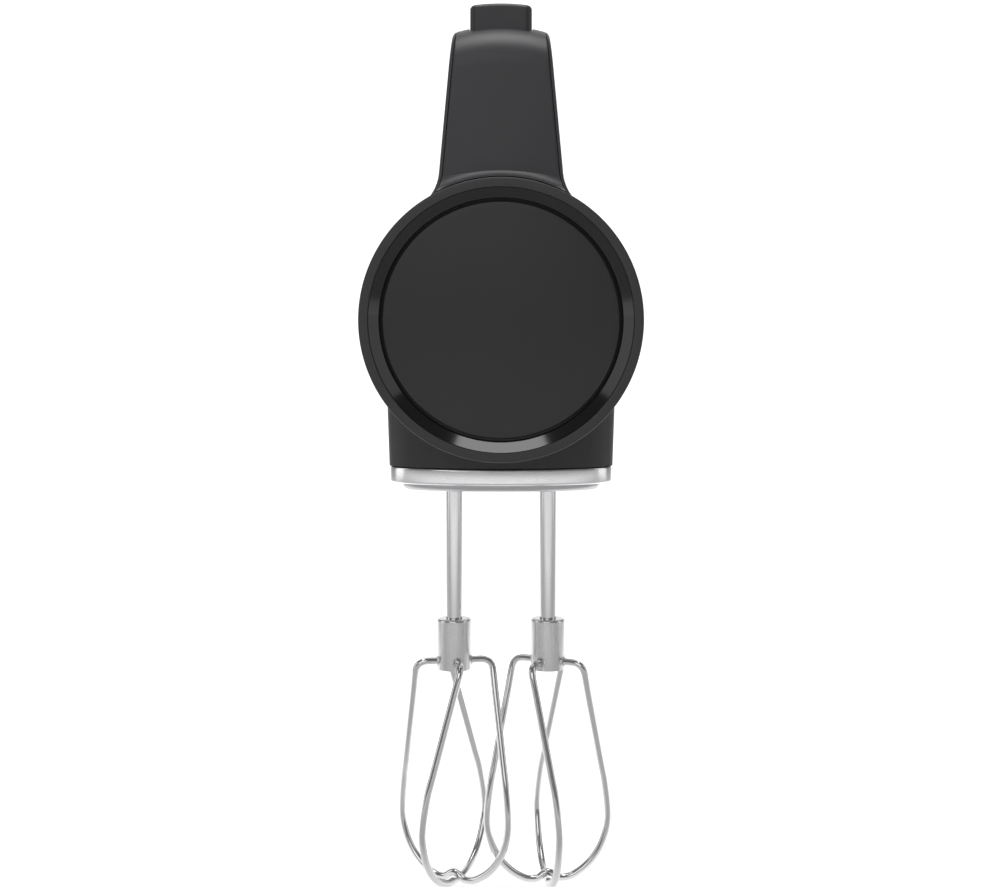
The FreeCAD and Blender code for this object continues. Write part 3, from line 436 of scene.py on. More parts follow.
class NodeTool:
    """Small Geometry Nodes graphs with named inputs, applied to plain meshes."""

    @staticmethod
    def _holder(name: str, points: Sequence[Vector],
                edges: Sequence[tuple[int, int]] = ()) -> bpy.types.Object:
        """Makes an object of bare points and edges, for a graph to work on.

        Args:
            name: Object name.
            points: Points in the row frame.
            edges: Pairs of point numbers.

        Returns:
            The object, linked to the scene.
        """
        mesh = bpy.data.meshes.new(name)
        mesh.from_pydata([tuple(p) for p in points], edges, [])
        holder = bpy.data.objects.new(name, mesh)
        bpy.context.scene.collection.objects.link(holder)
        return holder

    @staticmethod
    def _group(name: str, inputs: Mapping[str, str]) -> bpy.types.NodeTree:
        """Makes an empty graph with geometry in and out.

        Args:
            name: Name of the graph.
            inputs: Kind of each further input, by its name.

        Returns:
            The graph.
        """
        group = bpy.data.node_groups.new(name, "GeometryNodeTree")
        group.interface.new_socket("Geometry", in_out="OUTPUT",
                                   socket_type="NodeSocketGeometry")
        for label, kind in {"Geometry": "Geometry", **inputs}.items():
            group.interface.new_socket(label, in_out="INPUT",
                                       socket_type="NodeSocket" + kind)
        return group

    @staticmethod
    def _bake(holder: bpy.types.Object, group: bpy.types.NodeTree,
              values: Mapping[str, object]) -> bpy.types.Object:
        """Runs the graph on the object and keeps its result as a plain mesh.

        Args:
            holder: The object.
            group: The graph.
            values: Value of each named input.

        Returns:
            The object with its new mesh.
        """
        modifier = holder.modifiers.new("graph", "NODES")
        modifier.node_group = group
        for socket in group.interface.items_tree:
            if socket.name in values:
                modifier[socket.identifier] = values[socket.name]
        graph = bpy.context.evaluated_depsgraph_get()
        graph.update()
        result = bpy.data.meshes.new_from_object(holder.evaluated_get(graph),
                                                 depsgraph=graph)
        holder.modifiers.remove(modifier)
        holder.data = result
        return holder

    @classmethod
    def tube(cls, name: str, points: Sequence[Vector], radius_mm: float,
             material: bpy.types.Material, around: int = 20) -> bpy.types.Object:
        """Sweeps a round section along a line of points.

        Args:
            name: Object name.
            points: Centreline in the row frame.
            radius_mm: Radius of the section.
            material: Finish of the tube.
            around: Points round the section.

        Returns:
            A plain mesh object.
        """
        holder = cls._holder(name, points, [(i, i + 1) for i in range(len(points) - 1)])
        group = cls._group("sweep along line", {"Radius": "Float", "Points Around": "Int",
                                                "Finish": "Material"})
        inlet = add_node(group, "NodeGroupInput")
        curve = add_node(group, "GeometryNodeMeshToCurve",
                         {"Mesh": inlet.outputs["Geometry"]})
        ring = add_node(group, "GeometryNodeCurvePrimitiveCircle",
                        {"Radius": inlet.outputs["Radius"],
                         "Resolution": inlet.outputs["Points Around"]})
        swept = add_node(group, "GeometryNodeCurveToMesh",
                         {"Curve": curve.outputs["Curve"],
                          "Profile Curve": ring.outputs["Curve"], "Fill Caps": True})
        smooth = add_node(group, "GeometryNodeSetShadeSmooth",
                          {"Geometry": swept.outputs["Mesh"]})
        paint = add_node(group, "GeometryNodeSetMaterial",
                         {"Geometry": smooth.outputs["Geometry"],
                          "Material": inlet.outputs["Finish"]})
        add_node(group, "NodeGroupOutput", {"Geometry": paint.outputs["Geometry"]})
        return cls._bake(holder, group, {"Radius": radius_mm * MM, "Points Around": around,
                                         "Finish": material})

    @classmethod
    def repeat(cls, name: str, seats: Sequence[Vector], seed_piece: bpy.types.Object,
               material: bpy.types.Material) -> bpy.types.Object:
        """Puts a copy of a small piece on every point.

        Args:
            name: Object name.
            seats: Points in the row frame.
            seed_piece: The small piece, centred on the origin. It is removed.
            material: Finish of the copies.

        Returns:
            A plain mesh object with all the copies.
        """
        holder = cls._holder(name, seats)
        group = cls._group("copies on points", {"Piece": "Object", "Finish": "Material"})
        inlet = add_node(group, "NodeGroupInput")
        points = add_node(group, "GeometryNodeMeshToPoints",
                          {"Mesh": inlet.outputs["Geometry"]})
        info = add_node(group, "GeometryNodeObjectInfo", {"Object": inlet.outputs["Piece"]})
        copies = add_node(group, "GeometryNodeInstanceOnPoints",
                          {"Points": points.outputs["Points"],
                           "Instance": info.outputs["Geometry"]})
        real = add_node(group, "GeometryNodeRealizeInstances",
                        {"Geometry": copies.outputs["Instances"]})
        paint = add_node(group, "GeometryNodeSetMaterial",
                         {"Geometry": real.outputs["Geometry"],
                          "Material": inlet.outputs["Finish"]})
        add_node(group, "NodeGroupOutput", {"Geometry": paint.outputs["Geometry"]})
        made = cls._bake(holder, group, {"Piece": seed_piece, "Finish": material})
        bpy.data.objects.remove(seed_piece)
        return made


# ------------------------------------------------------------------ pieces


@dataclass
class Placed:
    """What a finished piece belongs to.

    Attributes:
        body: CAD body it moves with.
        finish: Its finish.
        slot: The record's material slot; not used.
        replaces: CAD nodes it stands for.
    """

    body: str
    finish: Palette
    slot: str
    replaces: tuple[str, ...] = ()


class Workshop:
    """Places pieces on the frame and keeps the log."""

    def __init__(self) -> None:
        """Starts with no pieces."""
        self.finishes = FinishShop()
        self.made: list[bpy.types.Object] = []

    def paint(self, piece: bpy.types.Object, finish: Palette) -> None:
        """Gives the whole piece one material."""
        piece.data.materials.clear()
        piece.data.materials.append(self.finishes.get(finish))

    def place(self, piece: bpy.types.Object, placed: Placed) -> bpy.types.Object:
        """Paints a piece, joins it to its body and hides what it stands for.

        Args:
            piece: The finished piece.
            placed: Its body, finish, slot and the nodes that it replaces.

        Returns:
            The same piece.
        """
        self.paint(piece, placed.finish)
        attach(piece, placed.body)
        if placed.replaces:
            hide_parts(*placed.replaces)
        self.made.append(piece)
        log.info("%s: %d faces on %s, for %s", piece.name, len(piece.data.polygons),
                 placed.body, ", ".join(placed.replaces) or "nothing")
        return piece


@dataclass
class CadFinishes:
    """The finish of every CAD node, those that a finer piece stands for included."""

    shop: Workshop
    by_node: dict[str, Palette] = field(default_factory=lambda: {
        "housing_left": Palette.SHELL, "housing_right": Palette.SHELL,
        "handle_cover": Palette.TRIM, "grip_pad": Palette.RUBBER,
        "heel_ring": Palette.RUBBER, "base_plate": Palette.PLATE,
        "base_screws": Palette.SATIN, "housing_screws": Palette.SATIN,
        "frame_screws": Palette.SATIN, "control_board": Palette.BOARD,
        "board_parts": Palette.CHIP, "gear_frame": Palette.FRAME,
        "gear_cover": Palette.FRAME, "spindle_bushes": Palette.BRASS,
        "worm_bearing": Palette.BRASS, "motor_can": Palette.SATIN,
        "motor_end_cap": Palette.CHIP, "motor_magnets": Palette.MAGNET,
        "motor_brushes": Palette.CARBON, "motor_mounts": Palette.RUBBER,
        "wiring": Palette.INSULATION, "contact_block": Palette.CHIP,
        "contact_blades": Palette.BLADE, "eject_guide": Palette.FRAME,
        "eject_spring": Palette.SATIN, "speed_switch": Palette.CHIP,
        "status_lens": Palette.LENS, "motor_shaft": Palette.STEEL,
        "armature_core": Palette.LAMINATE, "armature_windings": Palette.COPPER,
        "commutator": Palette.BLADE, "cooling_fan": Palette.CHIP, "worm": Palette.STEEL,
        "eject_button": Palette.BUTTON, "eject_fork": Palette.NYLON,
        "speed_knob": Palette.BUTTON, "speed_carriage": Palette.NYLON,
        "battery_case": Palette.SHELL, "battery_cap": Palette.TRIM,
        "battery_cells": Palette.CELL, "battery_latch": Palette.GLOSS,
        "spindle_left": Palette.SATIN, "spindle_right": Palette.SATIN,
        "worm_wheel_left": Palette.NYLON, "worm_wheel_right": Palette.NYLON,
        "eject_pin_left": Palette.STEEL, "eject_pin_right": Palette.STEEL,
        "nose_ring": Palette.RING, "nose_bevel": Palette.GLOSS, "nose_disc": Palette.DISC,
        "base_band": Palette.BAND,
        "beater_shaft_left": Palette.STEEL, "beater_shaft_right": Palette.STEEL,
        "beater_sleeve_left": Palette.SATIN, "beater_sleeve_right": Palette.SATIN,
        "beater_wire_low_left": Palette.STEEL, "beater_wire_low_right": Palette.STEEL,
        "beater_wire_over_left": Palette.STEEL, "beater_wire_over_right": Palette.STEEL,
    })

    def apply(self, nodes: dict[str, bpy.types.Object]) -> None:
        """Paints every listed node.

        Args:
            nodes: CAD objects by node name.
        """
        for name, finish in self.by_node.items():
            self.shop.paint(nodes[name], finish)
            log.info("%s: %s", name, finish.value.name)


@dataclass
class Nose:
    """The matte ring, gloss bevel and domed disc at the front.

    Attributes:
        shop: Where finished pieces go.
        ring_r: Outer radius of the ring, in mm.
        face_r: Where the ring meets the bevel.
        bevel_r: Inner radius of the bevel.
        disc_r: Radius of the disc.
        front: How far the ring stands before the beater axes.
        ring_round: Rounding of the ring's front edges.
        bevel_steps: Steps down the slope of the bevel.
        disc_face: How far the disc's middle stands before the beater axes.
        disc_sag: How much lower its rim lies.
        disc_round: Rounding of the rim.
    """

    shop: Workshop
    ring_r: float = 45.2
    face_r: float = 42.0
    bevel_r: float = 38.6
    disc_r: float = 37.9
    front: float = 45.0
    ring_round: float = 0.55
    bevel_steps: int = 8
    disc_face: float = 43.5
    disc_sag: float = 1.1
    disc_round: float = 0.7

    def ring(self) -> None:
        """The flat matte ring with a soft outer edge."""
        body = rounded([(self.face_r, self.front), (self.ring_r, self.front), (self.ring_r, 40.2),
                        (42.3, 40.2), (42.3, 36.2), (40.0, 36.2), (40.0, 41.2),
                        (self.face_r, 41.2)], self.ring_round, 6, keep=(3, 4, 5, 6, 7))
        made = MeshMaker.turned("nose_ring_fine", body, at(0, 0, 0), Vector((0, -1, 0)), 288)
        self.shop.place(made, Placed("housing", Palette.RING, "matte_black", ("nose_ring",)))

    def bevel(self) -> None:
        """The funnel-shaped gloss bevel that catches the top light along its lower part."""
        body = [(41.95, 44.98), (41.95, 41.3), (39.9, 41.3), (39.9, 38.6), (35.1, 38.6),
                (35.1, 39.85), (self.bevel_r, 39.85), (self.bevel_r, 41.9)]
        for k in range(1, self.bevel_steps):
            t = k / self.bevel_steps
            body.append((self.bevel_r + 3.35 * t, 41.9 + 3.08 * t))
        made = MeshMaker.turned("nose_bevel_fine", body, at(0, 0, 0), Vector((0, -1, 0)), 288)
        self.shop.place(made, Placed("housing", Palette.GLOSS, "gloss_black",
                                     ("nose_bevel",)))

    def disc(self) -> None:
        """The slightly domed disc with a rounded rim."""
        sag, face, edge = self.disc_sag, self.disc_face, self.disc_round
        big = (self.disc_r ** 2 + sag ** 2) / (2 * sag)
        body = [(0.0, 40.3), (self.disc_r, 40.3)]
        rim_r = self.disc_r - edge
        rim_h = face - big + math.sqrt(big ** 2 - rim_r ** 2)
        for k in range(7):
            a = math.pi / 2 * k / 6
            body.append((rim_r + edge * math.cos(a), rim_h - edge + edge * math.sin(a)))
        for k in range(1, 25):
            r = rim_r * (1 - k / 24)
            body.append((r, face - big + math.sqrt(big ** 2 - r ** 2)))
        made = MeshMaker.turned("nose_disc_fine", body, at(0, 0, 0), Vector((0, -1, 0)), 256)
        self.shop.place(made, Placed("housing", Palette.DISC, "disc_grey", ("nose_disc",)))

    def build(self) -> None:
        """Builds all three."""
        self.ring()
        self.bevel()
        self.disc()


@dataclass
class BaseBand:
    """The bright metal band round the foot of the body.

    Attributes:
        shop: Where finished pieces go.
        half: Half the width of the plan, in mm.
        nose: Depth of the front curve.
        tail: Depth of the rear curve.
        tangent_y: Where the front curve meets the straight sides.
        side_y: Where the rear curve does.
        top_z: Upper edge.
        bottom_z: Lower edge.
        thick: Thickness of the band.
        edge_r: Rounding of its outer edges.
    """

    shop: Workshop
    half: float = 37.6
    nose: float = 15.2
    tail: float = 21.8
    tangent_y: float = -5.0
    side_y: float = 58.0
    top_z: float = -49.28
    bottom_z: float = -54.8
    thick: float = 2.6
    edge_r: float = 0.85

    def outline(self, steps: int = 96) -> list[tuple[Vector, Vector]]:
        """Walks round the plan of the band.

        Args:
            steps: Steps along each of the two curves.

        Returns:
            Points in mm, each with its outward direction.
        """
        found = []
        for centre_y, deep, start in ((self.tangent_y, self.nose, math.pi),
                                      (self.side_y, self.tail, 0.0)):
            for k in range(steps + 1):
                a = start + math.pi * k / steps
                spot = Vector((self.half * math.cos(a), centre_y + deep * math.sin(a)))
                out = Vector((deep * math.cos(a), self.half * math.sin(a))).normalized()
                found.append((spot, out))
        return found

    def build(self) -> None:
        """Sweeps the band's section round the plan."""
        section = rounded([(0.0, self.top_z), (0.0, self.bottom_z),
                           (-self.thick, self.bottom_z), (-self.thick, self.top_z)],
                          self.edge_r, 6, keep=(2, 3))
        path = self.outline()
        verts = []
        for spot, out in path:
            for inset, z in section:
                p = spot + out * inset
                verts.append(at(p.x, p.y, z))
        count = len(section)
        faces = []
        for k in range(len(path)):
            n = (k + 1) % len(path)
            for i in range(count):
                j = (i + 1) % count
                faces.append((k * count + i, k * count + j, n * count + j, n * count + i))
        made = MeshMaker.build("base_band_fine", verts, faces, 40)
        MeshMaker.weld(made)
        self.shop.place(made, Placed("housing", Palette.BAND, "polished_steel",
                                     ("base_band",)))


@dataclass
class BeaterShape:
    """One beater's place and twist.

    Attributes:
        side: left or right.
        x: Axis, in mm across.
        hole: Azimuth of the first wire hole from the front, in degrees.
        twist: Turn of the wires between hole and belly, in degrees.
    """

    side: str
    x: float
    hole: float
    twist: float


@dataclass
class Beater:
    """Shaft, sleeve and two bent wires.

    Attributes:
        shop: Where finished pieces go.
        shape: Place and twist of this beater.
        shaft_r: Radius of the shaft, in mm.
        sleeve_r: Radius of the sleeve.
        sleeve_top_z: Top of the sleeve.
        sleeve_bottom_z: Foot of the sleeve.
        wire_r: Radius of the wires.
        hole_z: Height of the wire holes.
        shoulder_r: How far out the wires turn down.
        belly_r: Radius of the cage at its widest.
        belly_z: Height of the widest place.
        low_z: Lowest point of the wires.
        hump: Rise of the wire that passes over the other.
    """

    shop: Workshop
    shape: BeaterShape
    shaft_r: float = 2.82
    sleeve_r: float = 5.85
    sleeve_top_z: float = -101.7
    sleeve_bottom_z: float = -119.0
    wire_r: float = 1.25
    hole_z: float = -116.2
    shoulder_r: float = 13.0
    belly_r: float = 21.1
    belly_z: float = -168.0
    low_z: float = -191.5
    hump: float = 3.0

    def spot(self, r: float, z: float, azimuth: float) -> Vector:
        """A point at a radius and azimuth from the beater's axis, in mm."""
        a = math.radians(azimuth)
        return Vector((self.shape.x + r * math.sin(a), -r * math.cos(a), z))

    def leg(self, hole: float) -> list[Vector]:
        """Places the control points of one leg, from the sleeve to the lower belly.

        Args:
            hole: Azimuth of its hole, in degrees.

        Returns:
            Points in mm.
        """
        belly = hole + self.shape.twist
        start = self.spot(3.3, self.hole_z, hole)
        shoulder = self.spot(self.shoulder_r, self.hole_z, hole)
        hip = self.spot(self.belly_r, self.belly_z + 3, belly)
        back = (start - shoulder).normalized()
        on = (hip - shoulder).normalized()
        half = back.angle(on) / 2
        radius = 3.4
        run = radius / math.tan(half)
        middle = shoulder + (back + on).normalized() * (radius / math.sin(half))
        first = shoulder + back * run - middle
        last = shoulder + on * run - middle
        whole = first.angle(last)
        points = [start, self.spot(6.5, self.hole_z, hole)]
        for k in range(5):
            t = k / 4
            early = math.sin((1 - t) * whole) / math.sin(whole)
            late = math.sin(t * whole) / math.sin(whole)
            points.append(middle + first * early + last * late)
        flank = points[-1]
        for t in (0.2, 0.45, 0.7, 0.86):
            points.append(flank.lerp(hip, t))
        for degrees in (6, 20, 34, 48, 61, 72):
            t = math.radians(degrees)
            r = self.belly_r * math.cos(t) ** 0.92
            z = self.belly_z - (self.belly_z - self.low_z) * math.sin(t) ** 0.95
            points.append(self.spot(r, z, belly))
        return points

    def loop(self, hole: float, hump: float) -> list[Vector]:
        """Places the control points of a whole wire.

        Args:
            hole: Azimuth of its first hole, in degrees.
            hump: Its rise in the middle, in mm.

        Returns:
            Points in mm.
        """
        belly = hole + self.shape.twist
        bottom = []
        for r in (3.4, 1.7, 0.0, -1.7, -3.4):
            rise = hump * math.exp(-(r / 3.4) ** 2)
            bottom.append(self.spot(r, self.low_z + rise, belly))
        return self.leg(hole) + bottom + self.leg(hole + 180)[::-1]

    @staticmethod
    def smooth(points: Sequence[Vector], step_mm: float = 0.8) -> list[Vector]:
        """Draws a centripetal curve through the control points.

        Args:
            points: Control points in mm.
            step_mm: Distance from one point of the curve to the next.

        Returns:
            Points of the curve in mm.
        """
        padded = [points[0] * 2 - points[1], *points, points[-1] * 2 - points[-2]]
        found = []
        for i in range(len(points) - 1):
            p0, p1, p2, p3 = padded[i:i + 4]
            t0 = 0.0
            t1 = t0 + math.sqrt((p1 - p0).length)
            t2 = t1 + math.sqrt((p2 - p1).length)
            t3 = t2 + math.sqrt((p3 - p2).length)
            count = max(int((p2 - p1).length / step_mm), 1)
            for k in range(count):
                t = t1 + (t2 - t1) * k / count
                a1 = p0 * ((t1 - t) / (t1 - t0)) + p1 * ((t - t0) / (t1 - t0))
                a2 = p1 * ((t2 - t) / (t2 - t1)) + p2 * ((t - t1) / (t2 - t1))
                a3 = p2 * ((t3 - t) / (t3 - t2)) + p3 * ((t - t2) / (t3 - t2))
                b1 = a1 * ((t2 - t) / (t2 - t0)) + a2 * ((t - t0) / (t2 - t0))
                b2 = a2 * ((t3 - t) / (t3 - t1)) + a3 * ((t - t1) / (t3 - t1))
                found.append(b1 * ((t2 - t) / (t2 - t1)) + b2 * ((t - t1) / (t2 - t1)))
        found.append(points[-1])
        return found

    def wire(self, label: str, hole: float, hump: float) -> None:
        """Builds one wire in place of its CAD node.

        Args:
            label: low or over.
            hole: Azimuth of its first hole, in degrees.
            hump: Its rise in the middle, in mm.
        """
        line = [at(*p) for p in self.smooth(self.loop(hole, hump))]
        name = f"beater_wire_{label}_{self.shape.side}"
        made = NodeTool.tube(name + "_fine", line, self.wire_r,
                             self.shop.finishes.get(Palette.STEEL))
        self.shop.place(made, Placed(f"beater_{self.shape.side}", Palette.STEEL,
                                     "polished_steel", (name,)))

    def sleeve(self) -> None:
        """The collar that clamps the four wire ends."""
        body = rounded([(self.shaft_r, self.sleeve_top_z), (self.sleeve_r, self.sleeve_top_z),
                        (self.sleeve_r, self.sleeve_bottom_z), (0.0, self.sleeve_bottom_z),
                        (0.0, -118.2), (self.shaft_r, -118.2)], 0.9, 6,
                       keep=(0, 2, 3, 4, 5))
        made = MeshMaker.turned(f"beater_sleeve_{self.shape.side}_fine", body,
                                at(self.shape.x, 0, 0), Vector((0, 0, 1)), 128)
        self.shop.place(made, Placed(f"beater_{self.shape.side}", Palette.SATIN,
                                     "polished_steel", (f"beater_sleeve_{self.shape.side}",)))
        self.eyelets([self.spot(5.86, self.hole_z, self.shape.hole + 90 * k)
                      for k in range(4)])

    def eyelets(self, seats: Sequence[Vector]) -> None:
        """Makes thin pressed rims round the wire holes.

        Args:
            seats: Centres of the holes, in mm.
        """
        for k, seat in enumerate(seats):
            out = Vector((seat.x - self.shape.x, seat.y, 0)).normalized()
            rim = [(1.3, -0.2), (1.3, 0.16), (1.45, 0.26), (1.7, 0.2), (1.85, -0.25)]
            made = MeshMaker.turned(f"wire_eyelet_{self.shape.side}_{k}", rim,
                                    at(*seat), out, 40)
            self.shop.place(made, Placed(f"beater_{self.shape.side}", Palette.SATIN,
                                         "polished_steel"))

    def shaft(self) -> None:
        """The visible stem, with the drive wings and the detent groove."""
        full = self.shaft_r
        body = [(0.0, -12.2), (2.0, -12.2), (full, -13.0), (full, -17.0), (2.4, -17.4),
                (2.4, -18.8), (full, -19.2), (full, -118.1), (0.0, -118.1)]
        made = MeshMaker.turned(f"beater_shaft_{self.shape.side}_fine", body,
                                at(self.shape.x, 0, 0), Vector((0, 0, 1)), 96)
        wings = bmesh.new()
        wings.from_mesh(made.data)
        for across, deep in ((4.4, 0.65), (0.65, 4.4)):
            lump = bmesh.ops.create_cube(wings, size=1.0)
            size = Matrix.Diagonal((2 * across * MM, 2 * deep * MM, 6.9 * MM, 1.0))
            place = Matrix.Translation(at(self.shape.x, 0, -50.05))
            bmesh.ops.transform(wings, matrix=place @ size, verts=lump["verts"])
        wings.to_mesh(made.data)
        wings.free()
        self.shop.place(made, Placed(f"beater_{self.shape.side}", Palette.STEEL,
                                     "polished_steel", (f"beater_shaft_{self.shape.side}",)))

    def build(self) -> None:
        """Builds the whole beater."""
        self.shaft()
        self.sleeve()
        self.wire("low", self.shape.hole, 0.0)
        self.wire("over", self.shape.hole + 90, self.hump)


@dataclass
class Controls:
    """Printed dots beside the speed slider and ribs under the grip.

    Attributes:
        shop: Where finished pieces go.
        dots: Number of printed dots.
        dot_x: How far the dots lie from the middle, in mm.
        handle_top_z: Top of the handle.
        crown_r: Radius of the handle's crowned top.
        ribs: Number of ribs.
        rib_pitch: From one rib to the next.
        rib_half: Half the length of a rib.
        rib_half_top: Half the length of its crest.
        rib_half_wide: Half its width.
        rib_deep: Its height.
    """

    shop: Workshop
    dots: int = 7
    dot_x: float = 8.6
    handle_top_z: float = 95.8
    crown_r: float = 56.0
    ribs: int = 33
    rib_pitch: float = 2.75
    rib_half: float = 12.0
    rib_half_top: float = 11.4
    rib_half_wide: float = 0.6
    rib_deep: float = 0.45

    def speed_dots(self) -> None:
        """Seven printed dots, growing towards the fastest speed."""
        x = self.dot_x
        z = self.handle_top_z - (self.crown_r - math.sqrt(self.crown_r ** 2 - x ** 2))
        tilt = Vector((x, 0, self.crown_r)).normalized()
        for k in range(self.dots):
            y = 14.0 + 3.0 * k
            r = 0.38 + 0.09 * k
            body = [(0.0, -0.05), (r, -0.05), (r, 0.03), (0.0, 0.03)]
            made = MeshMaker.turned(f"speed_dot_{k}", body, at(x, y, z), tilt, 32)
            self.shop.place(made, Placed("housing", Palette.MARK, "trim_black"))

    def grip_ribs(self) -> None:
        """Fine ribs across the soft pad under the grip."""
        half, wide = self.rib_half * MM, self.rib_half_wide * MM
        short, deep = self.rib_half_top * MM, self.rib_deep * MM
        corners = [Vector((-half, -wide, 0)), Vector((half, -wide, 0)),
                   Vector((half, wide, 0)), Vector((-half, wide, 0)),
                   Vector((-short, 0, -deep)), Vector((short, 0, -deep))]
        sides = [(0, 1, 5, 4), (2, 3, 4, 5), (1, 2, 5), (3, 0, 4), (3, 2, 1, 0)]
        seed = MeshMaker.build("rib_seed", corners, sides, 60)
        seats = []
        for k in range(self.ribs):
            y = 12.0 + self.rib_pitch * k
            z = 66.0 - (y + 8.0) / 128.0
            seats.append(at(0, y, z + 0.02))
        made = NodeTool.repeat("grip_ribs", seats, seed,
                               self.shop.finishes.get(Palette.RUBBER))
        self.shop.place(made, Placed("housing", Palette.RUBBER, "soft_rubber"))

    def build(self) -> None:
        """Builds the marks and ribs."""
        self.speed_dots()
        self.grip_ribs()


# ------------------------------------------------------------------ studio


@dataclass(frozen=True)
class Lamp:
    """One soft panel, in metres and watts.

    Attributes:
        name: Lamp name.
        place: Its position in the row frame.
        size: Width and height.
        watts: Power.
    """

    name: str
    place: tuple[float, float, float]
    size: tuple[float, float]
    watts: float


LAMPS = (
    Lamp("top panel", (0.0, -0.22, 1.15), (0.9, 0.7), 10.0),
    Lamp("left panel", (-1.25, -0.15, 0.1), (0.55, 1.3), 2.4),
    Lamp("right panel", (1.25, -0.15, 0.1), (0.55, 1.3), 1.9),
    Lamp("front panel", (-0.45, -2.3, 0.9), (2.0, 1.3), 9.0),
)
CAMERA_MM = (0.0, -581.4, -1.6)
CAMERA_LENS_MM = 61.2
CAMERA_SHIFT = (-0.00105, -0.1185)
FLOOR_GAP_MM = 0.6
AIR_STRENGTH = 0.16


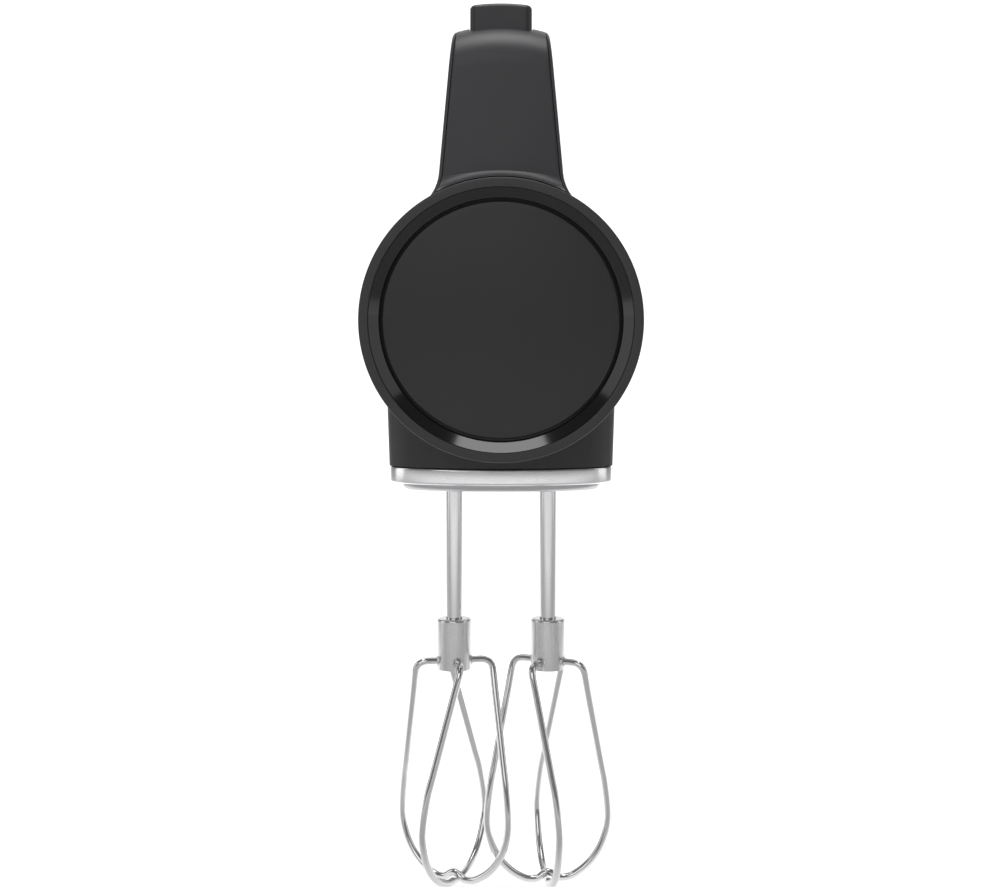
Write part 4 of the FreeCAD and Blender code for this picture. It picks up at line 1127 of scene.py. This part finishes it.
@dataclass
class Studio:
    """Pale sweep, soft lights and the camera at the photographed angle.

    Attributes:
        half_wide: Half the width of the sweep, in metres, as all sizes here.
        front_y: Front edge of the floor.
        bend_y: Where the floor starts to curve up.
        bend_r: Radius of that curve.
        bend_steps: Steps round it.
        top_z: Height of the sweep above the floor.
        paper_colour: sRGB hex code of the paper.
        back_glow: Depths and strengths of the glow behind the object.
        front_glow: The same for the glow before it.
        side_fall: Slants and shares over which the glow behind fades sideways.
        slant_from_y: How far before the middle the slant is measured from.
    """

    half_wide: float = 4.5
    front_y: float = -2.5
    bend_y: float = 0.9
    bend_r: float = 1.2
    bend_steps: int = 24
    top_z: float = 4.5
    paper_colour: str = "#c8c8c8"
    back_glow: tuple[float, float, float, float] = (-0.11, -0.03, 0.0, 0.9)
    front_glow: tuple[float, float, float, float] = (-0.9, -0.4, 0.65, 0.0)
    side_fall: tuple[float, float, float, float] = (0.30, 0.85, 1.0, 0.1)
    slant_from_y: float = 0.64

    def sweep(self) -> None:
        """A seamless pale floor that curves up behind, with light of its own in places."""
        floor_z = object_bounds()[0][2] - FLOOR_GAP_MM * MM
        line = [(self.front_y, 0.0), (self.bend_y, 0.0)]
        for k in range(1, self.bend_steps + 1):
            a = math.pi / 2 * k / self.bend_steps
            line.append((self.bend_y + self.bend_r * math.sin(a),
                         self.bend_r - self.bend_r * math.cos(a)))
        line.append((self.bend_y + self.bend_r, self.top_z))
        verts = [Vector((x, y, floor_z + z))
                 for y, z in line for x in (-self.half_wide, self.half_wide)]
        faces = [(2 * i, 2 * i + 1, 2 * i + 3, 2 * i + 2) for i in range(len(line) - 1)]
        made = MeshMaker.build("studio_sweep", verts, faces, 60)
        made.data.materials.append(self.paper())
        made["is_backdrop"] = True

    def paper(self) -> bpy.types.Material:
        """Makes the paper: matt and pale, shining behind and before the object.

        Returns:
            Its material.
        """
        material = bpy.data.materials.new("studio paper")
        material.use_nodes = True
        tree = material.node_tree
        shader = tree.nodes["Principled BSDF"]
        shader.inputs["Base Color"].default_value = srgb(self.paper_colour)
        shader.inputs["Roughness"].default_value = 0.9
        shader.inputs["Emission Color"].default_value = srgb("#ffffff")
        place = add_node(tree, "ShaderNodeTexCoord")
        split = add_node(tree, "ShaderNodeSeparateXYZ", {"Vector": place.outputs["Object"]})
        reach = add_node(tree, "ShaderNodeMath",
                         {0: split.outputs["Y"], 1: self.slant_from_y}, operation="ADD")
        aside = add_node(tree, "ShaderNodeMath", {0: split.outputs["X"]},
                         operation="ABSOLUTE")
        slant = add_node(tree, "ShaderNodeMath",
                         {0: aside.outputs["Value"], 1: reach.outputs["Value"]},
                         operation="DIVIDE")
        ramps = []
        for source, span in ((split.outputs["Y"], self.back_glow),
                             (slant.outputs["Value"], self.side_fall),
                             (split.outputs["Y"], self.front_glow)):
            ramp = add_node(tree, "ShaderNodeMapRange",
                            {"Value": source, **dict(zip(RANGE_INPUTS, span))},
                            interpolation_type="SMOOTHSTEP")
            ramps.append(ramp.outputs["Result"])
        back = add_node(tree, "ShaderNodeMath", {0: ramps[0], 1: ramps[1]},
                        operation="MULTIPLY")
        whole = add_node(tree, "ShaderNodeMath", {0: back.outputs["Value"], 1: ramps[2]},
                         operation="ADD")
        tree.links.new(whole.outputs["Value"], shader.inputs["Emission Strength"])
        return material

    def light(self, lamp: Lamp) -> None:
        """A rectangular soft light aimed at the object.

        Args:
            lamp: Its name, place, size and power.
        """
        data = bpy.data.lights.new(lamp.name, "AREA")
        data.shape = "RECTANGLE"
        data.size, data.size_y = lamp.size
        data.energy = lamp.watts
        holder = bpy.data.objects.new(lamp.name, data)
        bpy.context.scene.collection.objects.link(holder)
        place = Vector(lamp.place)
        holder.location = place
        holder.rotation_mode = "QUATERNION"
        holder.rotation_quaternion = (at(0, 0, -20) - place).to_track_quat("-Z", "Y")
        holder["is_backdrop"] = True
        log.info("light %s: %.1f W", lamp.name, lamp.watts)

    def lights(self) -> None:
        """The four panels and the air's own weak light."""
        for lamp in LAMPS:
            self.light(lamp)
        world = bpy.data.worlds.new("studio air")
        world.use_nodes = True
        back = world.node_tree.nodes["Background"]
        back.inputs["Color"].default_value = srgb("#ffffff")
        back.inputs["Strength"].default_value = AIR_STRENGTH
        bpy.context.scene.world = world

    def camera(self) -> None:
        """A level camera on the middle plane, shifted to frame the whole object."""
        data = bpy.data.cameras.new("camera")
        data.sensor_width = 36.0
        data.lens = CAMERA_LENS_MM
        data.shift_x, data.shift_y = CAMERA_SHIFT
        data.clip_start = 0.01
        data.clip_end = 50.0
        holder = bpy.data.objects.new("camera", data)
        bpy.context.scene.collection.objects.link(holder)
        holder.location = at(*CAMERA_MM)
        holder.rotation_euler = (math.pi / 2, 0, 0)
        bpy.context.scene.camera = holder

    def build(self) -> None:
        """Sets up the whole studio."""
        self.sweep()
        self.lights()
        self.camera()
        bpy.context.scene.view_settings.view_transform = "Standard"
        bpy.context.scene.view_settings.look = "None"


def main() -> None:
    """Builds the looks and finishes the frame."""
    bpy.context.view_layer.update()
    shop = Workshop()
    CadFinishes(shop).apply(frame["nodes"])
    Nose(shop).build()
    BaseBand(shop).build()
    for shape in (BeaterShape("left", -16.0, 12.0, -41.0),
                  BeaterShape("right", 16.0, -28.0, 37.0)):
        Beater(shop, shape).build()
    Controls(shop).build()
    Studio().build()
    log.info("%d pieces made", len(shop.made))


if __name__ == "__main__":
    main()
